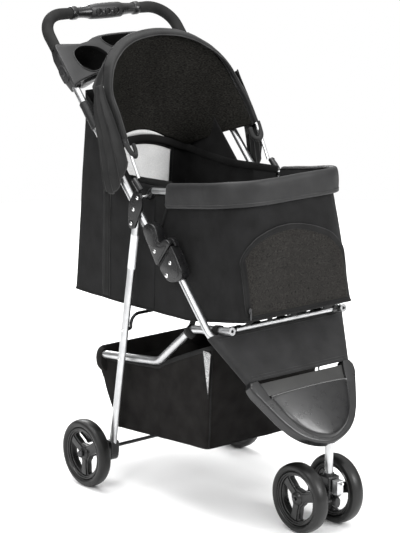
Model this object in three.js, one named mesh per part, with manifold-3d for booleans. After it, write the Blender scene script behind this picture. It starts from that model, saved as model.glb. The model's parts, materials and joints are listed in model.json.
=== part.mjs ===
// Three-wheel folding pet stroller, millimetres, +Z up, front towards -Y, right-hand side towards -X.
// Built in a working frame whose origin is on the floor under the rear axle, then shifted so that
// the group's origin is the centre of the footprint, on the floor.
import * as THREE from 'three';
import { mergeVertices } from 'three/addons/utils/BufferGeometryUtils.js';
import Module from 'manifold-3d';

const wasm = await Module();
wasm.setup();

// ---- driving dimensions ----
const SHIFT_Y = 182.9;            // working frame -> footprint centre
const XF = 176.6;                 // half spacing of the side frame tubes
const TUBE_R = 8;                 // side frame tube
const U_PT = [75, 867.7];         // a point (y, z) on the handle tube's straight run
const U_DIR = [0.681, 0.732];     // its direction, upwards and rearwards
const U_NRM = [-0.732, 0.681];    // its front-upper normal
const ELBOW = [-252, 518];        // fold pivot (y, z)
const LEG_PIV = [-135, 609];      // rear leg pivot on the hinge plate
const SIDE_PIV = [-367, 417.5];   // basket frame pivot on the front tube
const LEG_MID = [-79, 300];       // where the basket frame meets the rear leg
const RIM_PIV = [-158, 668];      // rim bar and canopy bow connector
const LEG_X = 179;                // rear leg centre plane
const SIDE_X = 154;               // basket frame half spacing
const SIDE_R = 8.5;
const REAR_WHEEL_X = 217.2, REAR_R = 75, REAR_W = 29.8;
const FRONT_WHEEL_X = 49.2, FRONT_R = 74.2, FRONT_W = 32.5, FRONT_Y = -516;
const STEM_Y = -549, STEM_R = 8.6;
const GAP = 0.35;
const SIDES = 12;

// ---- materials ----
const mat = (hex, roughness, metalness) => new THREE.MeshStandardMaterial({ color: hex, roughness, metalness });
const SILVER = () => mat(0xc9cbcc, 0.32, 0.85);
const STEEL = () => mat(0xa8aaac, 0.35, 0.9);
const PLASTIC = () => mat(0x232324, 0.5, 0);
const GLOSS = () => mat(0x2b2c2e, 0.22, 0);
const FOAM = () => mat(0x2f302f, 0.95, 0);
const CLOTH = () => mat(0x262627, 0.9, 0);
const RUBBER = () => mat(0x262626, 0.75, 0);
const DARK = () => mat(0x3a3a3b, 0.4, 0.6);

// ---- geometry helpers ----
const V = (x, y, z) => new THREE.Vector3(x, y, z);

function volume(g) {
  const p = g.attributes.position, ix = g.index.array;
  let v = 0;
  const a = V(0, 0, 0), b = V(0, 0, 0), c = V(0, 0, 0);
  for (let i = 0; i < ix.length; i += 3) {
    a.fromBufferAttribute(p, ix[i]); b.fromBufferAttribute(p, ix[i + 1]); c.fromBufferAttribute(p, ix[i + 2]);
    v += a.dot(b.clone().cross(c)) / 6;
  }
  return v;
}
function clean(g) {
  g = g.clone();
  for (const name of Object.keys(g.attributes)) if (name !== 'position') g.deleteAttribute(name);
  g = mergeVertices(g, 1e-3);
  const ix = g.index.array, out = [];
  for (let i = 0; i < ix.length; i += 3) if (ix[i] !== ix[i + 1] && ix[i + 1] !== ix[i + 2] && ix[i] !== ix[i + 2]) out.push(ix[i], ix[i + 1], ix[i + 2]);
  g.setIndex(out);
  if (volume(g) < 0) for (let i = 0; i < out.length; i += 3) { const t = out[i]; out[i] = out[i + 1]; out[i + 1] = t; }
  g.setIndex(out);
  return g;
}
function solid(g) {
  g = clean(g);
  return new wasm.Manifold(new wasm.Mesh({ numProp: 3, vertProperties: new Float32Array(g.attributes.position.array), triVerts: new Uint32Array(g.index.array) }));
}
function geo(m) {
  const mesh = m.getMesh(), g = new THREE.BufferGeometry();
  const n = mesh.numProp, src = mesh.vertProperties, pos = new Float32Array(src.length / n * 3);
  for (let i = 0; i < src.length / n; i++) { pos[3 * i] = src[n * i]; pos[3 * i + 1] = src[n * i + 1]; pos[3 * i + 2] = src[n * i + 2]; }
  g.setAttribute('position', new THREE.BufferAttribute(pos, 3));
  g.setIndex(Array.from(mesh.triVerts));
  return g;
}
const join = (first, ...rest) => rest.reduce((m, o) => m.add(o), first);
const cut = (first, ...rest) => rest.reduce((m, o) => m.subtract(o), first);
function mirrorX(g) { const c = g.clone(); c.scale(-1, 1, 1); return clean(c); }

// polygon (y, z) extruded along X from x0 to x1
function slabX(pts, x0, x1, holes = []) {
  const s = new THREE.Shape(pts.map(([a, b]) => new THREE.Vector2(a, b)));
  for (const h of holes) s.holes.push(new THREE.Path(h.map(([a, b]) => new THREE.Vector2(a, b))));
  const g = new THREE.ExtrudeGeometry(s, { depth: Math.abs(x1 - x0), bevelEnabled: false, curveSegments: 4 });
  g.applyMatrix4(new THREE.Matrix4().makeBasis(V(0, 1, 0), V(0, 0, 1), V(1, 0, 0)));
  g.translate(Math.min(x0, x1), 0, 0);
  return g;
}
// polygon (u, v) extruded along n, placed by an origin and two axes
function slab(pts, origin, u, v, depth) {
  const s = new THREE.Shape(pts.map(([a, b]) => new THREE.Vector2(a, b)));
  const g = new THREE.ExtrudeGeometry(s, { depth, bevelEnabled: false, curveSegments: 4 });
  g.applyMatrix4(new THREE.Matrix4().makeBasis(u, v, u.clone().cross(v)).setPosition(origin));
  return g;
}
const ring = (r, n = SIDES, a0 = 0) => Array.from({ length: n }, (_, i) => [r * Math.cos(a0 + 2 * Math.PI * i / n), r * Math.sin(a0 + 2 * Math.PI * i / n)]);
const ringAt = (c, r, n = SIDES) => ring(r, n).map(([a, b]) => [a + c[0], b + c[1]]);
// a round rod between two points
function rod(a, b, r, n = SIDES) {
  const d = b.clone().sub(a), g = new THREE.CylinderGeometry(r, r, d.length(), n);
  g.applyQuaternion(new THREE.Quaternion().setFromUnitVectors(V(0, 1, 0), d.clone().normalize()));
  const m = a.clone().add(b).multiplyScalar(0.5);
  g.translate(m.x, m.y, m.z);
  return g;
}
const pinX = (c, x0, x1, r, n = SIDES) => rod(V(x0, c[0], c[1]), V(x1, c[0], c[1]), r, n);
const box = (x0, x1, y0, y1, z0, z1) => { const g = new THREE.BoxGeometry(x1 - x0, y1 - y0, z1 - z0); g.translate((x0 + x1) / 2, (y0 + y1) / 2, (z0 + z1) / 2); return g; };

// A route of straight runs with rounded corners; every listed point becomes one section.
function rounded(points, radii, step = 18) {
  const out = [points[0].clone()];
  for (let i = 1; i < points.length - 1; i++) {
    const p = points[i], a = points[i - 1].clone().sub(p).normalize(), b = points[i + 1].clone().sub(p).normalize();
    const ang = Math.PI - a.angleTo(b), r = radii[i - 1];
    if (!r || ang < 0.02) { out.push(p.clone()); continue; }
    const t = r * Math.tan(ang / 2), n = Math.max(2, Math.ceil(ang * 180 / Math.PI / step));
    const p0 = p.clone().addScaledVector(a, t), bis = a.clone().add(b).normalize();
    const c = p.clone().addScaledVector(bis, r / Math.cos(ang / 2)), e0 = p0.clone().sub(c).normalize();
    const ax = a.clone().negate().cross(b).normalize();
    for (let k = 0; k <= n; k++) out.push(c.clone().add(e0.clone().applyAxisAngle(ax, ang * k / n).multiplyScalar(r)));
  }
  out.push(points[points.length - 1].clone());
  return out;
}
class Route extends THREE.Curve {
  constructor(pts) { super(); this.pts = pts; }
  getPoint(t, target = new THREE.Vector3()) {
    const f = Math.min(Math.max(t, 0), 1) * (this.pts.length - 1), i = Math.min(Math.floor(f + 1e-9), this.pts.length - 2);
    return target.copy(this.pts[i]).lerp(this.pts[i + 1], f - i);
  }
  getPointAt(u, target) { return this.getPoint(u, target); }
  getTangentAt(u, target = new THREE.Vector3()) {
    const n = this.pts.length, i = Math.round(u * (n - 1));
    const a = this.pts[Math.max(i - 1, 0)], b = this.pts[i], c = this.pts[Math.min(i + 1, n - 1)];
    const t1 = b.clone().sub(a), t2 = c.clone().sub(b);
    if (t1.lengthSq() > 0) t1.normalize();
    if (t2.lengthSq() > 0) t2.normalize();
    return target.copy(t1.add(t2).normalize());
  }
}
function sweep(outline, pts, hole) {
  const s = new THREE.Shape(outline.map(([a, b]) => new THREE.Vector2(a, b)));
  if (hole) s.holes.push(new THREE.Path(hole.map(([a, b]) => new THREE.Vector2(a, b))));
  return new THREE.ExtrudeGeometry(s, { steps: pts.length - 1, bevelEnabled: false, extrudePath: new Route(pts) });
}
const tube = (pts, r, wall = 0, n = SIDES) => sweep(ring(r, n), pts, wall ? ring(r - wall, n) : null);
// rings of equal size joined in order and closed by a cap at each end;
// `pairs` caps a ring that is its own mirror image in strips running across it
function loft(rings, pairs = false) {
  const n = rings[0].length, pos = [], ix = [];
  for (const r of rings) for (const p of r) pos.push(p.x, p.y, p.z);
  for (let k = 0; k + 1 < rings.length; k++) for (let i = 0; i < n; i++) {
    const a = k * n + i, b = k * n + (i + 1) % n, c = a + n, d = b + n;
    ix.push(a, b, d, a, d, c);
  }
  for (const [k, flip] of [[0, true], [rings.length - 1, false]]) {
    if (pairs) {
      const r = rings[k], half = r.map((p, i) => i).filter((i) => r[i].x > 0).sort((a, b) => (r[b].y - r[a].y) || (r[b].y > 0 ? r[a].x - r[b].x : r[a].x - r[b].x));
      const chain = []; let at = r.map((p, i) => i).filter((i) => r[i].x > 0);
      let start = at.reduce((m, i) => (r[i].y > r[m].y + 1e-6 || (Math.abs(r[i].y - r[m].y) < 1e-6 && r[i].x < r[m].x) ? i : m), at[0]);
      const step = r[(start + 1) % n].x > 0 ? 1 : -1;
      for (let i = start, c = 0; c < half.length; c++, i = (i + step + n) % n) chain.push(i);
      const mate = (i) => r.reduce((m, p, j) => { const d = Math.hypot(p.x + r[i].x, p.y - r[i].y, p.z - r[i].z); return d < m[1] ? [j, d] : m; }, [-1, 1e9])[0];
      for (let c = 0; c + 1 < chain.length; c++) {
        const a = k * n + chain[c], b = k * n + chain[c + 1], ma = k * n + mate(chain[c]), mb = k * n + mate(chain[c + 1]);
        // same winding as the fan would give: edge a-b is walked against the wall's own direction
        const fwd = step === 1;
        const q = (flip === fwd) ? [[b, a, ma], [b, ma, mb]] : [[a, b, mb], [a, mb, ma]];
        for (const t of q) ix.push(...t);
      }
      continue;
    }
    const cc = rings[k].reduce((s, p) => s.add(p), V(0, 0, 0)).multiplyScalar(1 / n);
    const ci = pos.length / 3; pos.push(cc.x, cc.y, cc.z);
    for (let i = 0; i < n; i++) { const a = k * n + i, b = k * n + (i + 1) % n; flip ? ix.push(b, a, ci) : ix.push(a, b, ci); }
  }
  const g = new THREE.BufferGeometry();
  g.setAttribute('position', new THREE.Float32BufferAttribute(pos, 3));
  g.setIndex(ix);
  return g;
}
// an open sheet given by rows of points, thickened by t along its own normal and closed round its edge
function sheetSolid(rows, t) {
  const m = rows.length, n = rows[0].length, nrm = [];
  for (let i = 0; i < m; i++) { nrm.push([]); for (let j = 0; j < n; j++) {
    const a = rows[Math.min(i + 1, m - 1)][j].clone().sub(rows[Math.max(i - 1, 0)][j]);
    const b = rows[i][Math.min(j + 1, n - 1)].clone().sub(rows[i][Math.max(j - 1, 0)]);
    nrm[i].push(a.cross(b).normalize());
  } }
  const pos = [], ix = [], id = (k, i, j) => k * m * n + i * n + j;
  for (const k of [0, 1]) for (let i = 0; i < m; i++) for (let j = 0; j < n; j++) { const p = rows[i][j].clone().addScaledVector(nrm[i][j], k * t); pos.push(p.x, p.y, p.z); }
  for (let i = 0; i + 1 < m; i++) for (let j = 0; j + 1 < n; j++) {
    ix.push(id(0, i, j), id(0, i + 1, j), id(0, i + 1, j + 1), id(0, i, j), id(0, i + 1, j + 1), id(0, i, j + 1));
    ix.push(id(1, i, j), id(1, i + 1, j + 1), id(1, i + 1, j), id(1, i, j), id(1, i, j + 1), id(1, i + 1, j + 1));
  }
  const edge = (a, b, c, d) => ix.push(a, b, c, a, c, d);
  for (let j = 0; j + 1 < n; j++) { edge(id(0, 0, j), id(0, 0, j + 1), id(1, 0, j + 1), id(1, 0, j)); edge(id(0, m - 1, j + 1), id(0, m - 1, j), id(1, m - 1, j), id(1, m - 1, j + 1)); }
  for (let i = 0; i + 1 < m; i++) { edge(id(0, i + 1, 0), id(0, i, 0), id(1, i, 0), id(1, i + 1, 0)); edge(id(0, i, n - 1), id(0, i + 1, n - 1), id(1, i + 1, n - 1), id(1, i, n - 1)); }
  const g = new THREE.BufferGeometry();
  g.setAttribute('position', new THREE.Float32BufferAttribute(pos, 3));
  g.setIndex(ix);
  return g;
}

// ---- assembly ----
const root = new THREE.Group();
root.position.y = SHIFT_Y;
const put = (name, g, material) => { const m = new THREE.Mesh(clean(g), material); m.name = name; root.add(m); return m; };
const both = (name, g, material) => { put(name + '_right', g, material()); put(name + '_left', mirrorX(g), material()); };

// handle tube: one bent U from elbow to elbow
const uAt = (s, w = 0) => [U_PT[0] + s * U_DIR[0] + w * U_NRM[0], U_PT[1] + s * U_DIR[1] + w * U_NRM[1]];
const uP = (x, s, w = 0) => { const [y, z] = uAt(s, w); return V(x, y, z); };
const S_TOP = 200;                               // run length from U_PT to the cross bar
const S_LOW = -424;                              // lower end, inside the elbow casting
const HANDLE = rounded([uP(-XF, S_LOW), uP(-XF, S_TOP), uP(XF, S_TOP), uP(XF, S_LOW)], [58, 58], 15);
const handleTube = tube(HANDLE, TUBE_R);
const handleSolidFat = solid(tube(HANDLE, TUBE_R + GAP));
put('handle_tube', handleTube, SILVER());

// foam sleeves over the tube, each side of the centre grip
const foamRoute = rounded([uP(-XF, 117), uP(-XF, S_TOP), uP(-92.5, S_TOP)], [58], 15);
both('foam_sleeve', tube(foamRoute, 13, 13 - TUBE_R - GAP), FOAM);

// centre grip: collars, tapered necks and a flat body with three finger slots
{
  const [hy, hz] = uAt(S_TOP);
  const collar = geo(join(solid(tube([V(-92, hy, hz), V(-78, hy, hz)], 15, 0)), solid(tube([V(-79, hy, hz), V(-44.5, hy, hz)], 13.2, 0)))
    .subtract(solid(rod(V(-95, hy, hz), V(-40, hy, hz), TUBE_R + GAP))));
  both('grip_collar', collar, GLOSS);
  const oval = Array.from({ length: 14 }, (_, i) => { const a = 2 * Math.PI * i / 14; return [hy + 15 * Math.cos(a), hz + 17.5 * Math.sin(a)]; });
  let g = solid(slabX(oval, -44, 44)).subtract(solid(rod(V(-50, hy, hz), V(50, hy, hz), TUBE_R + GAP)));
  for (const x of [-26, 0, 26]) g = g.subtract(solid(box(x - 5, x + 5, hy - 20, hy - 12.2, hz - 8, hz + 8)));
  put('grip_body', geo(g), PLASTIC());
}

// cup tray: a moulded deck between the tubes with a sleeve round each, two cup wells and a middle tray
const TRAY_W = 15;
{
  const ux = V(1, 0, 0), us = V(0, U_DIR[0], U_DIR[1]);
  const at = (w) => V(0, U_PT[0] + w * U_NRM[0], U_PT[1] + w * U_NRM[1]);
  const deck = [[-188, 2], [-188, 112], [-150, 112], [-122, 109], [-80, 122], [-30, 128], [30, 128], [80, 122], [122, 109], [150, 112], [188, 112], [188, 2], [170, 8], [140, 20], [100, 30], [60, 34], [-60, 34], [-100, 30], [-140, 20], [-170, 8]];
  let t = solid(slab(deck, at(TRAY_W - 9), ux, us, 9));
  const sleeve = [[-190, 0], [-190, 114], [-162, 114], [-162, 0]];
  t = join(t, solid(slab(sleeve, at(-13.5), ux, us, TRAY_W + 13.5)), solid(slab(sleeve.map(([a, b]) => [-a, b]), at(-13.5), ux, us, TRAY_W + 13.5)));
  const well = (cx, cs, rx, rs, n = 16) => Array.from({ length: n }, (_, i) => { const a = 2 * Math.PI * (i + 0.5) / n; const k = 1 / Math.pow(Math.pow(Math.abs(Math.cos(a)), 3) + Math.pow(Math.abs(Math.sin(a)), 3), 1 / 3); return [cx + rx * k * Math.cos(a), cs + rs * k * Math.sin(a)]; });
  for (const sgn of [-1, 1]) t = t.add(solid(slab(well(sgn * 106, 68, 45, 35), at(-52), ux, us, TRAY_W + 52)));
  t = t.add(solid(slab(well(0, 92, 56, 31), at(-22), ux, us, TRAY_W + 22)));
  for (const sgn of [-1, 1]) t = t.subtract(solid(slab(well(sgn * 106, 68, 42, 32), at(-49), ux, us, TRAY_W + 60)));
  t = t.subtract(solid(slab(well(0, 92, 53, 28), at(-19), ux, us, TRAY_W + 40)));
  t = t.subtract(handleSolidFat);
  for (const x of [-1, 1]) t = t.subtract(solid(rod(uP(x * 192, 42), uP(x * 188.6, 42), 5.2)));
  put('cup_tray', geo(t), PLASTIC());
}

// elbow: upper casting on the handle tube, lower casting on the front tube, pinned at ELBOW
const L_START = [-262, 541 + 10], L_DIR = [-0.6645, -0.7473];
const FRONT_BEND = [-374, 415];
const FRONT_LOW = [-487, 273];
const frontRoute = rounded([V(-XF, -268, 534.4 + 0), V(-XF, FRONT_BEND[0], FRONT_BEND[1]), V(-106, FRONT_LOW[0], FRONT_LOW[1])], [60], 9);
frontRoute[0] = V(-XF, FRONT_BEND[0] - L_DIR[0] * 150, FRONT_BEND[1] - L_DIR[1] * 150);
both('front_tube', tube(frontRoute, TUBE_R), SILVER);
const X_OUT = -190.5, X_IN = -163.5;             // casting faces on the right-hand side
const PART_A = [-219, 531], PART_B = [-262, 585]; // parting line between the castings
const handleFatRight = solid(tube([uP(-XF, S_LOW - 1), uP(-XF, -280)], TUBE_R + GAP));
{
  const upper = [[-159, 600], [-190, 622], [-217, 613], [-224, 582], [-244, 595], [-261.5, 586], [PART_A[0] + 0.8, PART_A[1] - 0.6], [-206, 538]];
  let g = solid(slabX(upper, X_OUT, X_IN));
  const tongue = [[-221, 550], [-240, 574], [-257, 541], [-263.5, 521], [-262, 511.5], [-256.3, 507.2], [-247.8, 507.2], [-241.8, 512.6], [-226, 528]];
  g = g.add(solid(slabX(tongue, -181.5, -171.5)));
  g = g.subtract(handleFatRight).subtract(solid(pinX(ELBOW, -200, -150, 4 + GAP)));
  g = g.subtract(solid(box(-182, -171, -262.5, -231, 583.2, 600)));
  both('elbow_upper', geo(g), PLASTIC);
  const lower = [[PART_B[0], PART_B[1]], [-275, 572], [-292, 548], [-303, 533], [-297, 514], [-284, 505], [-262, 503], [-247, 507], [-238, 515], [-226.8, 530], [-226, 538.4]];
  let h = solid(slabX(lower, X_OUT, X_IN));
  const slot = [[-263, 590], [-258.4, 541], [-264.8, 521], [-263.4, 510], [-262, 498], [-212, 498], [-208, 532], [-236, 562]];
  h = h.subtract(solid(slabX(slot, -182.2, -170.8)));
  h = h.subtract(solid(pinX(ELBOW, -200, -150, 4 + GAP))).subtract(solid(tube([frontRoute[0].clone().add(V(0, 0.66, 0.75)), frontRoute[1]], TUBE_R + GAP)));
  both('elbow_lower', geo(h), PLASTIC);
  both('elbow_pin', geo(join(solid(pinX(ELBOW, -192.6, -161.5, 4)), solid(pinX(ELBOW, -193.4, -190.9, 5.8)))), STEEL);
  // spring catch that drops over the lower casting's nose
  const latch = [[-235, 586.5], [-246, 596.6], [-262, 597], [-272, 585], [-270, 581.5], [-261, 589], [-247, 588], [-238, 584]];
  both('fold_latch', slabX(latch, -181.5, -171.5), PLASTIC);
}

// hinge plate: carries the rear leg pivot, the tube rivet and the rim and canopy connector
{
  const plate = [[-155, 682], [-168, 676], [-171, 663], [-169, 645], [-158, 622], [-146, 600], [-136, 597], [-127, 603], [-125, 615], [-127, 650], [-140, 674]];
  let g = solid(slabX(plate, -193, -186.4)).subtract(solid(pinX(LEG_PIV, -200, -150, 3.5 + GAP))).subtract(solid(pinX(RIM_PIV, -200, -150, 3.5 + GAP)));
  both('hinge_plate', geo(g), PLASTIC);
  both('leg_pin', geo(join(solid(pinX(LEG_PIV, -194.6, -171, 3.5)), solid(pinX(LEG_PIV, -196, -193.4, 5.2)))), STEEL);
}

// rim bar: a flattened U from plate to plate round the front of the cabin
const RIM_Y = -434, RIM_Z = 711, RIM_X = 157;
const rimRoute = rounded([V(-RIM_X, RIM_PIV[0] - 12, RIM_PIV[1] + 2), V(-RIM_X, RIM_Y, RIM_Z), V(RIM_X, RIM_Y, RIM_Z), V(RIM_X, RIM_PIV[0] - 12, RIM_PIV[1] + 2)], [58, 58], 18);
{
  let g = solid(tube(rimRoute, 6.8, 0, 10));
  put('rim_bar', geo(g), SILVER());
  const conn = (sg) => join(solid(pinX(RIM_PIV, sg * 150, sg * 185.6, 3.5)), solid(slabX([[-150, 676], [-150, 660], [-183, 660], [-183, 684]], sg * 149.5, sg * 166)))
    .subtract(solid(tube(sg < 0 ? rimRoute.slice(0, 2) : rimRoute.slice(-2), 6.8 + GAP, 0, 10)));
  put('rim_joint_right', geo(conn(-1).add(solid(pinX(RIM_PIV, -194.4, -185, 3.5)))), PLASTIC());
  put('rim_joint_left', geo(conn(1).add(solid(pinX(RIM_PIV, 185, 194.4, 3.5)))), PLASTIC());
}
// padded cover rolled round the rim bar
{
  const a = rimRoute.findIndex((p) => p.y < -300);
  const mid = rimRoute.slice(a, rimRoute.length - a);
  const start = rimRoute[a].clone().lerp(rimRoute[a - 1], 0), d = rimRoute[0].clone().sub(rimRoute[1]).normalize();
  const q0 = V(-RIM_X, -214, RIM_Z + (RIM_PIV[1] + 2 - RIM_Z) * ((-214 - RIM_Y) / (RIM_PIV[0] - 12 - RIM_Y)));
  const pts = [q0, ...mid, V(RIM_X, q0.y, q0.z)];
  const up = V(0, 0.155, 1).normalize();
  const outline = [[-26, -6], [-26, 6], [-18, 9.4], [18, 9.4], [24, 6], [24, -6], [18, -9.4], [-18, -9.4]];
  const rings = pts.map((p, i) => {
    const t = new Route(pts).getTangentAt(i / (pts.length - 1)), side = t.clone().cross(V(0, 0, 1)).normalize(), vert = V(0, 0, 1);
    return outline.map(([h, s]) => p.clone().addScaledVector(vert, h).addScaledVector(side, s));
  });
  const g = solid(loft(rings)).subtract(solid(tube([rimRoute[0], ...rimRoute.slice(1)], 6.8 + 0.45, 0, 10)));
  put('rim_cover', geo(g), CLOTH());
}

// rear legs: flattened tubes, splayed back from the hinge plates
const LEG_DIR = (() => { const dy = -45.6 - LEG_PIV[0], dz = 97.8 - LEG_PIV[1], l = Math.hypot(dy, dz); return [dy / l, dz / l]; })();
const legAt = (d) => [LEG_PIV[0] + LEG_DIR[0] * d, LEG_PIV[1] + LEG_DIR[1] * d];
{
  const n = [-LEG_DIR[1], LEG_DIR[0]];
  const legShape = (a, b) => Array.from({ length: 14 }, (_, i) => { const t = 2 * Math.PI * (i + 0.5) / 14; return [a * Math.cos(t), b * Math.sin(t)]; });
  const legBody = (a, b, d0, d1) => { const p0 = legAt(d0), L = d1 - d0; return slab(legShape(a, b), V(-LEG_X, p0[0], p0[1]), V(1, 0, 0), V(0, n[0], n[1]), L); };
  const dirCheck = V(1, 0, 0).cross(V(0, n[0], n[1]));      // extrusion direction
  const along = dirCheck.y * LEG_DIR[0] + dirCheck.z * LEG_DIR[1] > 0;
  const leg = (a, b, d0, d1) => along ? legBody(a, b, d0, d1) : slab(legShape(a, b), V(-LEG_X, ...legAt(d1)), V(1, 0, 0), V(0, n[0], n[1]), d1 - d0);
  let g = solid(leg(6.8, 9.6, -9, 545)).subtract(solid(pinX(LEG_PIV, -200, -150, 3.5 + GAP))).subtract(solid(pinX(LEG_MID, -200, -150, 3 + GAP)));
  both('rear_leg', geo(g), SILVER);
  // foot bracket: leg socket with an arm back to the wheel axle
  const foot = [[-58, 108], [-33, 108], [-22, 92], [8, 92], [16, 82], [16, 68], [6, 59], [-20, 60], [-40, 62], [-58, 70]];
  const f = solid(slabX(foot, -190.5, -168)).add(solid(pinX([0, 75], -201.6, -168, 12))).subtract(solid(leg(6.8 + GAP, 9.6 + GAP, 480, 546)))
    .subtract(solid(pinX([0, 75], -210, -150, 4 + GAP)));
  both('foot_bracket', geo(f), PLASTIC);
  // brake pedal behind the bracket, inboard of the wheel
  const pedal = [[13, 99], [20, 100], [52, 112], [54, 106], [24, 93], [20, 87.5], [17.2, 92], [11, 93]];
  both('brake_pedal', slabX(pedal, -200, -170), PLASTIC);
  // the arched brace between the legs
  const b0 = legAt(245);
  const br = rounded([V(-171.8, b0[0], b0[1]), V(-163, b0[0], b0[1]), V(-161, b0[0], b0[1] + 31), V(161, b0[0], b0[1] + 31), V(163, b0[0], b0[1]), V(171.8, b0[0], b0[1])], [5, 22, 22, 5], 30);
  put('arch_brace', tube(br, 3.6, 0, 8), DARK());
  put('rear_axle', geo(join(solid(rod(V(-236, 0, 75), V(236, 0, 75), 4)), solid(pinX([0, 75], -237.5, -232.6, 8)), solid(pinX([0, 75], 232.6, 237.5, 8)))), DARK());
  both('side_pin', geo(join(solid(pinX(LEG_MID, -187.8, -163.6, 3)), solid(pinX(LEG_MID, -190, -187.2, 5)))), STEEL);
}

// basket frame: one tube round the back of the basket, rising under the cabin to open front ends
const sideRun = [V(-SIDE_X, -421.6, 427.1), V(-SIDE_X, -299, 407), V(-SIDE_X, -277, 394), V(-SIDE_X, -178, 311.7), V(-SIDE_X, 56, 280)];
const sideRoute = rounded([sideRun[0], V(-SIDE_X, -291, 405.5), V(-SIDE_X, -179, 311.5), V(-SIDE_X, 56, 280), V(SIDE_X, 56, 280), V(SIDE_X, -179, 311.5), V(SIDE_X, -291, 405.5), V(SIDE_X, -421.6, 427.1)], [45, 45, 42, 42, 45, 45], 20);
{
  const spacer = (s) => solid(pinX(SIDE_PIV, s * (SIDE_X + SIDE_R - 2.5), s * 167.3, 5));
  const bore = (s) => solid(tube([V(s * SIDE_X, -424, 427.5), V(s * SIDE_X, -390, 422)], SIDE_R - 1.5, 0, 10));
  const openTube = cut(solid(tube(sideRoute, SIDE_R, 0, 10)), bore(-1), bore(1));
  put('basket_tube', geo(join(openTube, spacer(-1), spacer(1))), SILVER());
}
put('cross_bar', tube([V(-SIDE_X + SIDE_R + GAP + 0.2, -404, 424), V(SIDE_X - SIDE_R - GAP - 0.2, -404, 424)], 6, 0, 10), SILVER());

// front fabric panel, stretched between the two converging tubes
const P_U = V(1, 0, 0), P_V = V(0, 0.6185, 0.7858), P_N = V(0, -0.7858, 0.6185);
{
  const o = V(0, -452.7, 317.5).addScaledVector(P_N, 9.2);
  put('front_panel', slab([[-136, 2], [136, 2], [184, 110.5], [-184, 110.5]], o, P_U, P_V, 2.4), CLOTH());
}
// front fender: a glossy U-shaped scoop that takes both tube ends and the caster stem
{
  const v = (z) => (z - 317.5) / 0.7858;
  const half = [[143, 309], [141, 299], [127, 280], [122, 268], [104, 241], [95, 231], [84, 220], [67, 208], [49, 200], [30, 193.5], [12, 190], [0, 189.5]];
  const outer = [...half.map(([x, z]) => [x, v(z)]), ...half.slice(0, -1).reverse().map(([x, z]) => [-x, v(z)])];
  const inHalf = [[108, 321], [104, 286], [90, 258], [72, 235], [48, 220], [24, 213], [0, 212]];
  const inner = [...inHalf.map(([x, z]) => [x, v(z)]), ...inHalf.slice(0, -1).reverse().map(([x, z]) => [-x, v(z)])];
  const o = V(0, -452.7, 317.5);
  let g = solid(slab(outer.concat([[-116, v(313)], [116, v(313)]]), o.clone().addScaledVector(P_N, -13), P_U, P_V, 33));
  g = g.subtract(solid(slab([...inner, [-104, v(330)], [104, v(330)]], o.clone().addScaledVector(P_N, -9), P_U, P_V, 60)));
  // bowl of the scoop, standing proud of the recess
  const bowlHalf = [[104, 287], [90, 258], [72, 235], [48, 220], [24, 213], [0, 212]];
  const bowl = [...bowlHalf.map(([x, z]) => [x * 1.02, v(z) - 1]), ...bowlHalf.slice(0, -1).reverse().map(([x, z]) => [-x * 1.02, v(z) - 1])];
  let b = solid(slab(bowl, o.clone().addScaledVector(P_N, -12), P_U, P_V, 33));
  const dome = new THREE.SphereGeometry(1, 20, 12); dome.scale(96, 48, 34);
  dome.applyMatrix4(new THREE.Matrix4().makeBasis(P_U, P_V, P_N).setPosition(o.clone().addScaledVector(P_N, 6).addScaledVector(P_V, v(246))));
  const domeS = solid(dome).intersect(solid(slab(bowl, o.clone().addScaledVector(P_N, -10), P_U, P_V, 60)));
  g = g.add(b).add(domeS);
  g = g.add(solid(rod(V(0, STEM_Y, 180), V(0, STEM_Y, 212), 14)));
  g = g.subtract(solid(rod(V(0, STEM_Y, 170), V(0, STEM_Y, 206.5), STEM_R + GAP)));
  const last = frontRoute.slice(-2), run = last[1].clone().sub(last[0]).normalize();
  for (const s of [-1, 1]) g = g.subtract(solid(tube([last[0], last[1].clone().addScaledVector(run, 1)].map((p) => V(s * -p.x, p.y, p.z)), TUBE_R + GAP)));
  put('front_fender', geo(g), GLOSS());
}
put('caster_stem', tube([V(0, STEM_Y, 123.4), V(0, STEM_Y, 206)], STEM_R, 2), SILVER());

// caster: bracket, lock, axle and two wheels
{
  const side = [[-567, 122.5], [-524, 122.5], [-505, 98], [-500, 74], [-505, 63], [-516, 58.5], [-534, 60], [-566, 66]];
  let g = solid(slabX(side, -15, 15)).add(solid(rod(V(0, STEM_Y, 120), V(0, STEM_Y, 150), STEM_R - 2 - GAP)));
  g = g.add(solid(pinX([FRONT_Y, FRONT_R], -31.5, 31.5, 11)));
  g = g.subtract(solid(pinX([FRONT_Y, FRONT_R], -60, 60, 4 + GAP)));
  put('caster_bracket', geo(g), PLASTIC());
  put('front_axle', rod(V(-68, FRONT_Y, FRONT_R), V(68, FRONT_Y, FRONT_R), 4), DARK());
  put('swivel_lock', geo(join(solid(box(-9, 9, -585, -567.6, 89, 117)), solid(rod(V(0, -592, 113), V(0, -584, 113), 3.4)))), STEEL());
}

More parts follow.
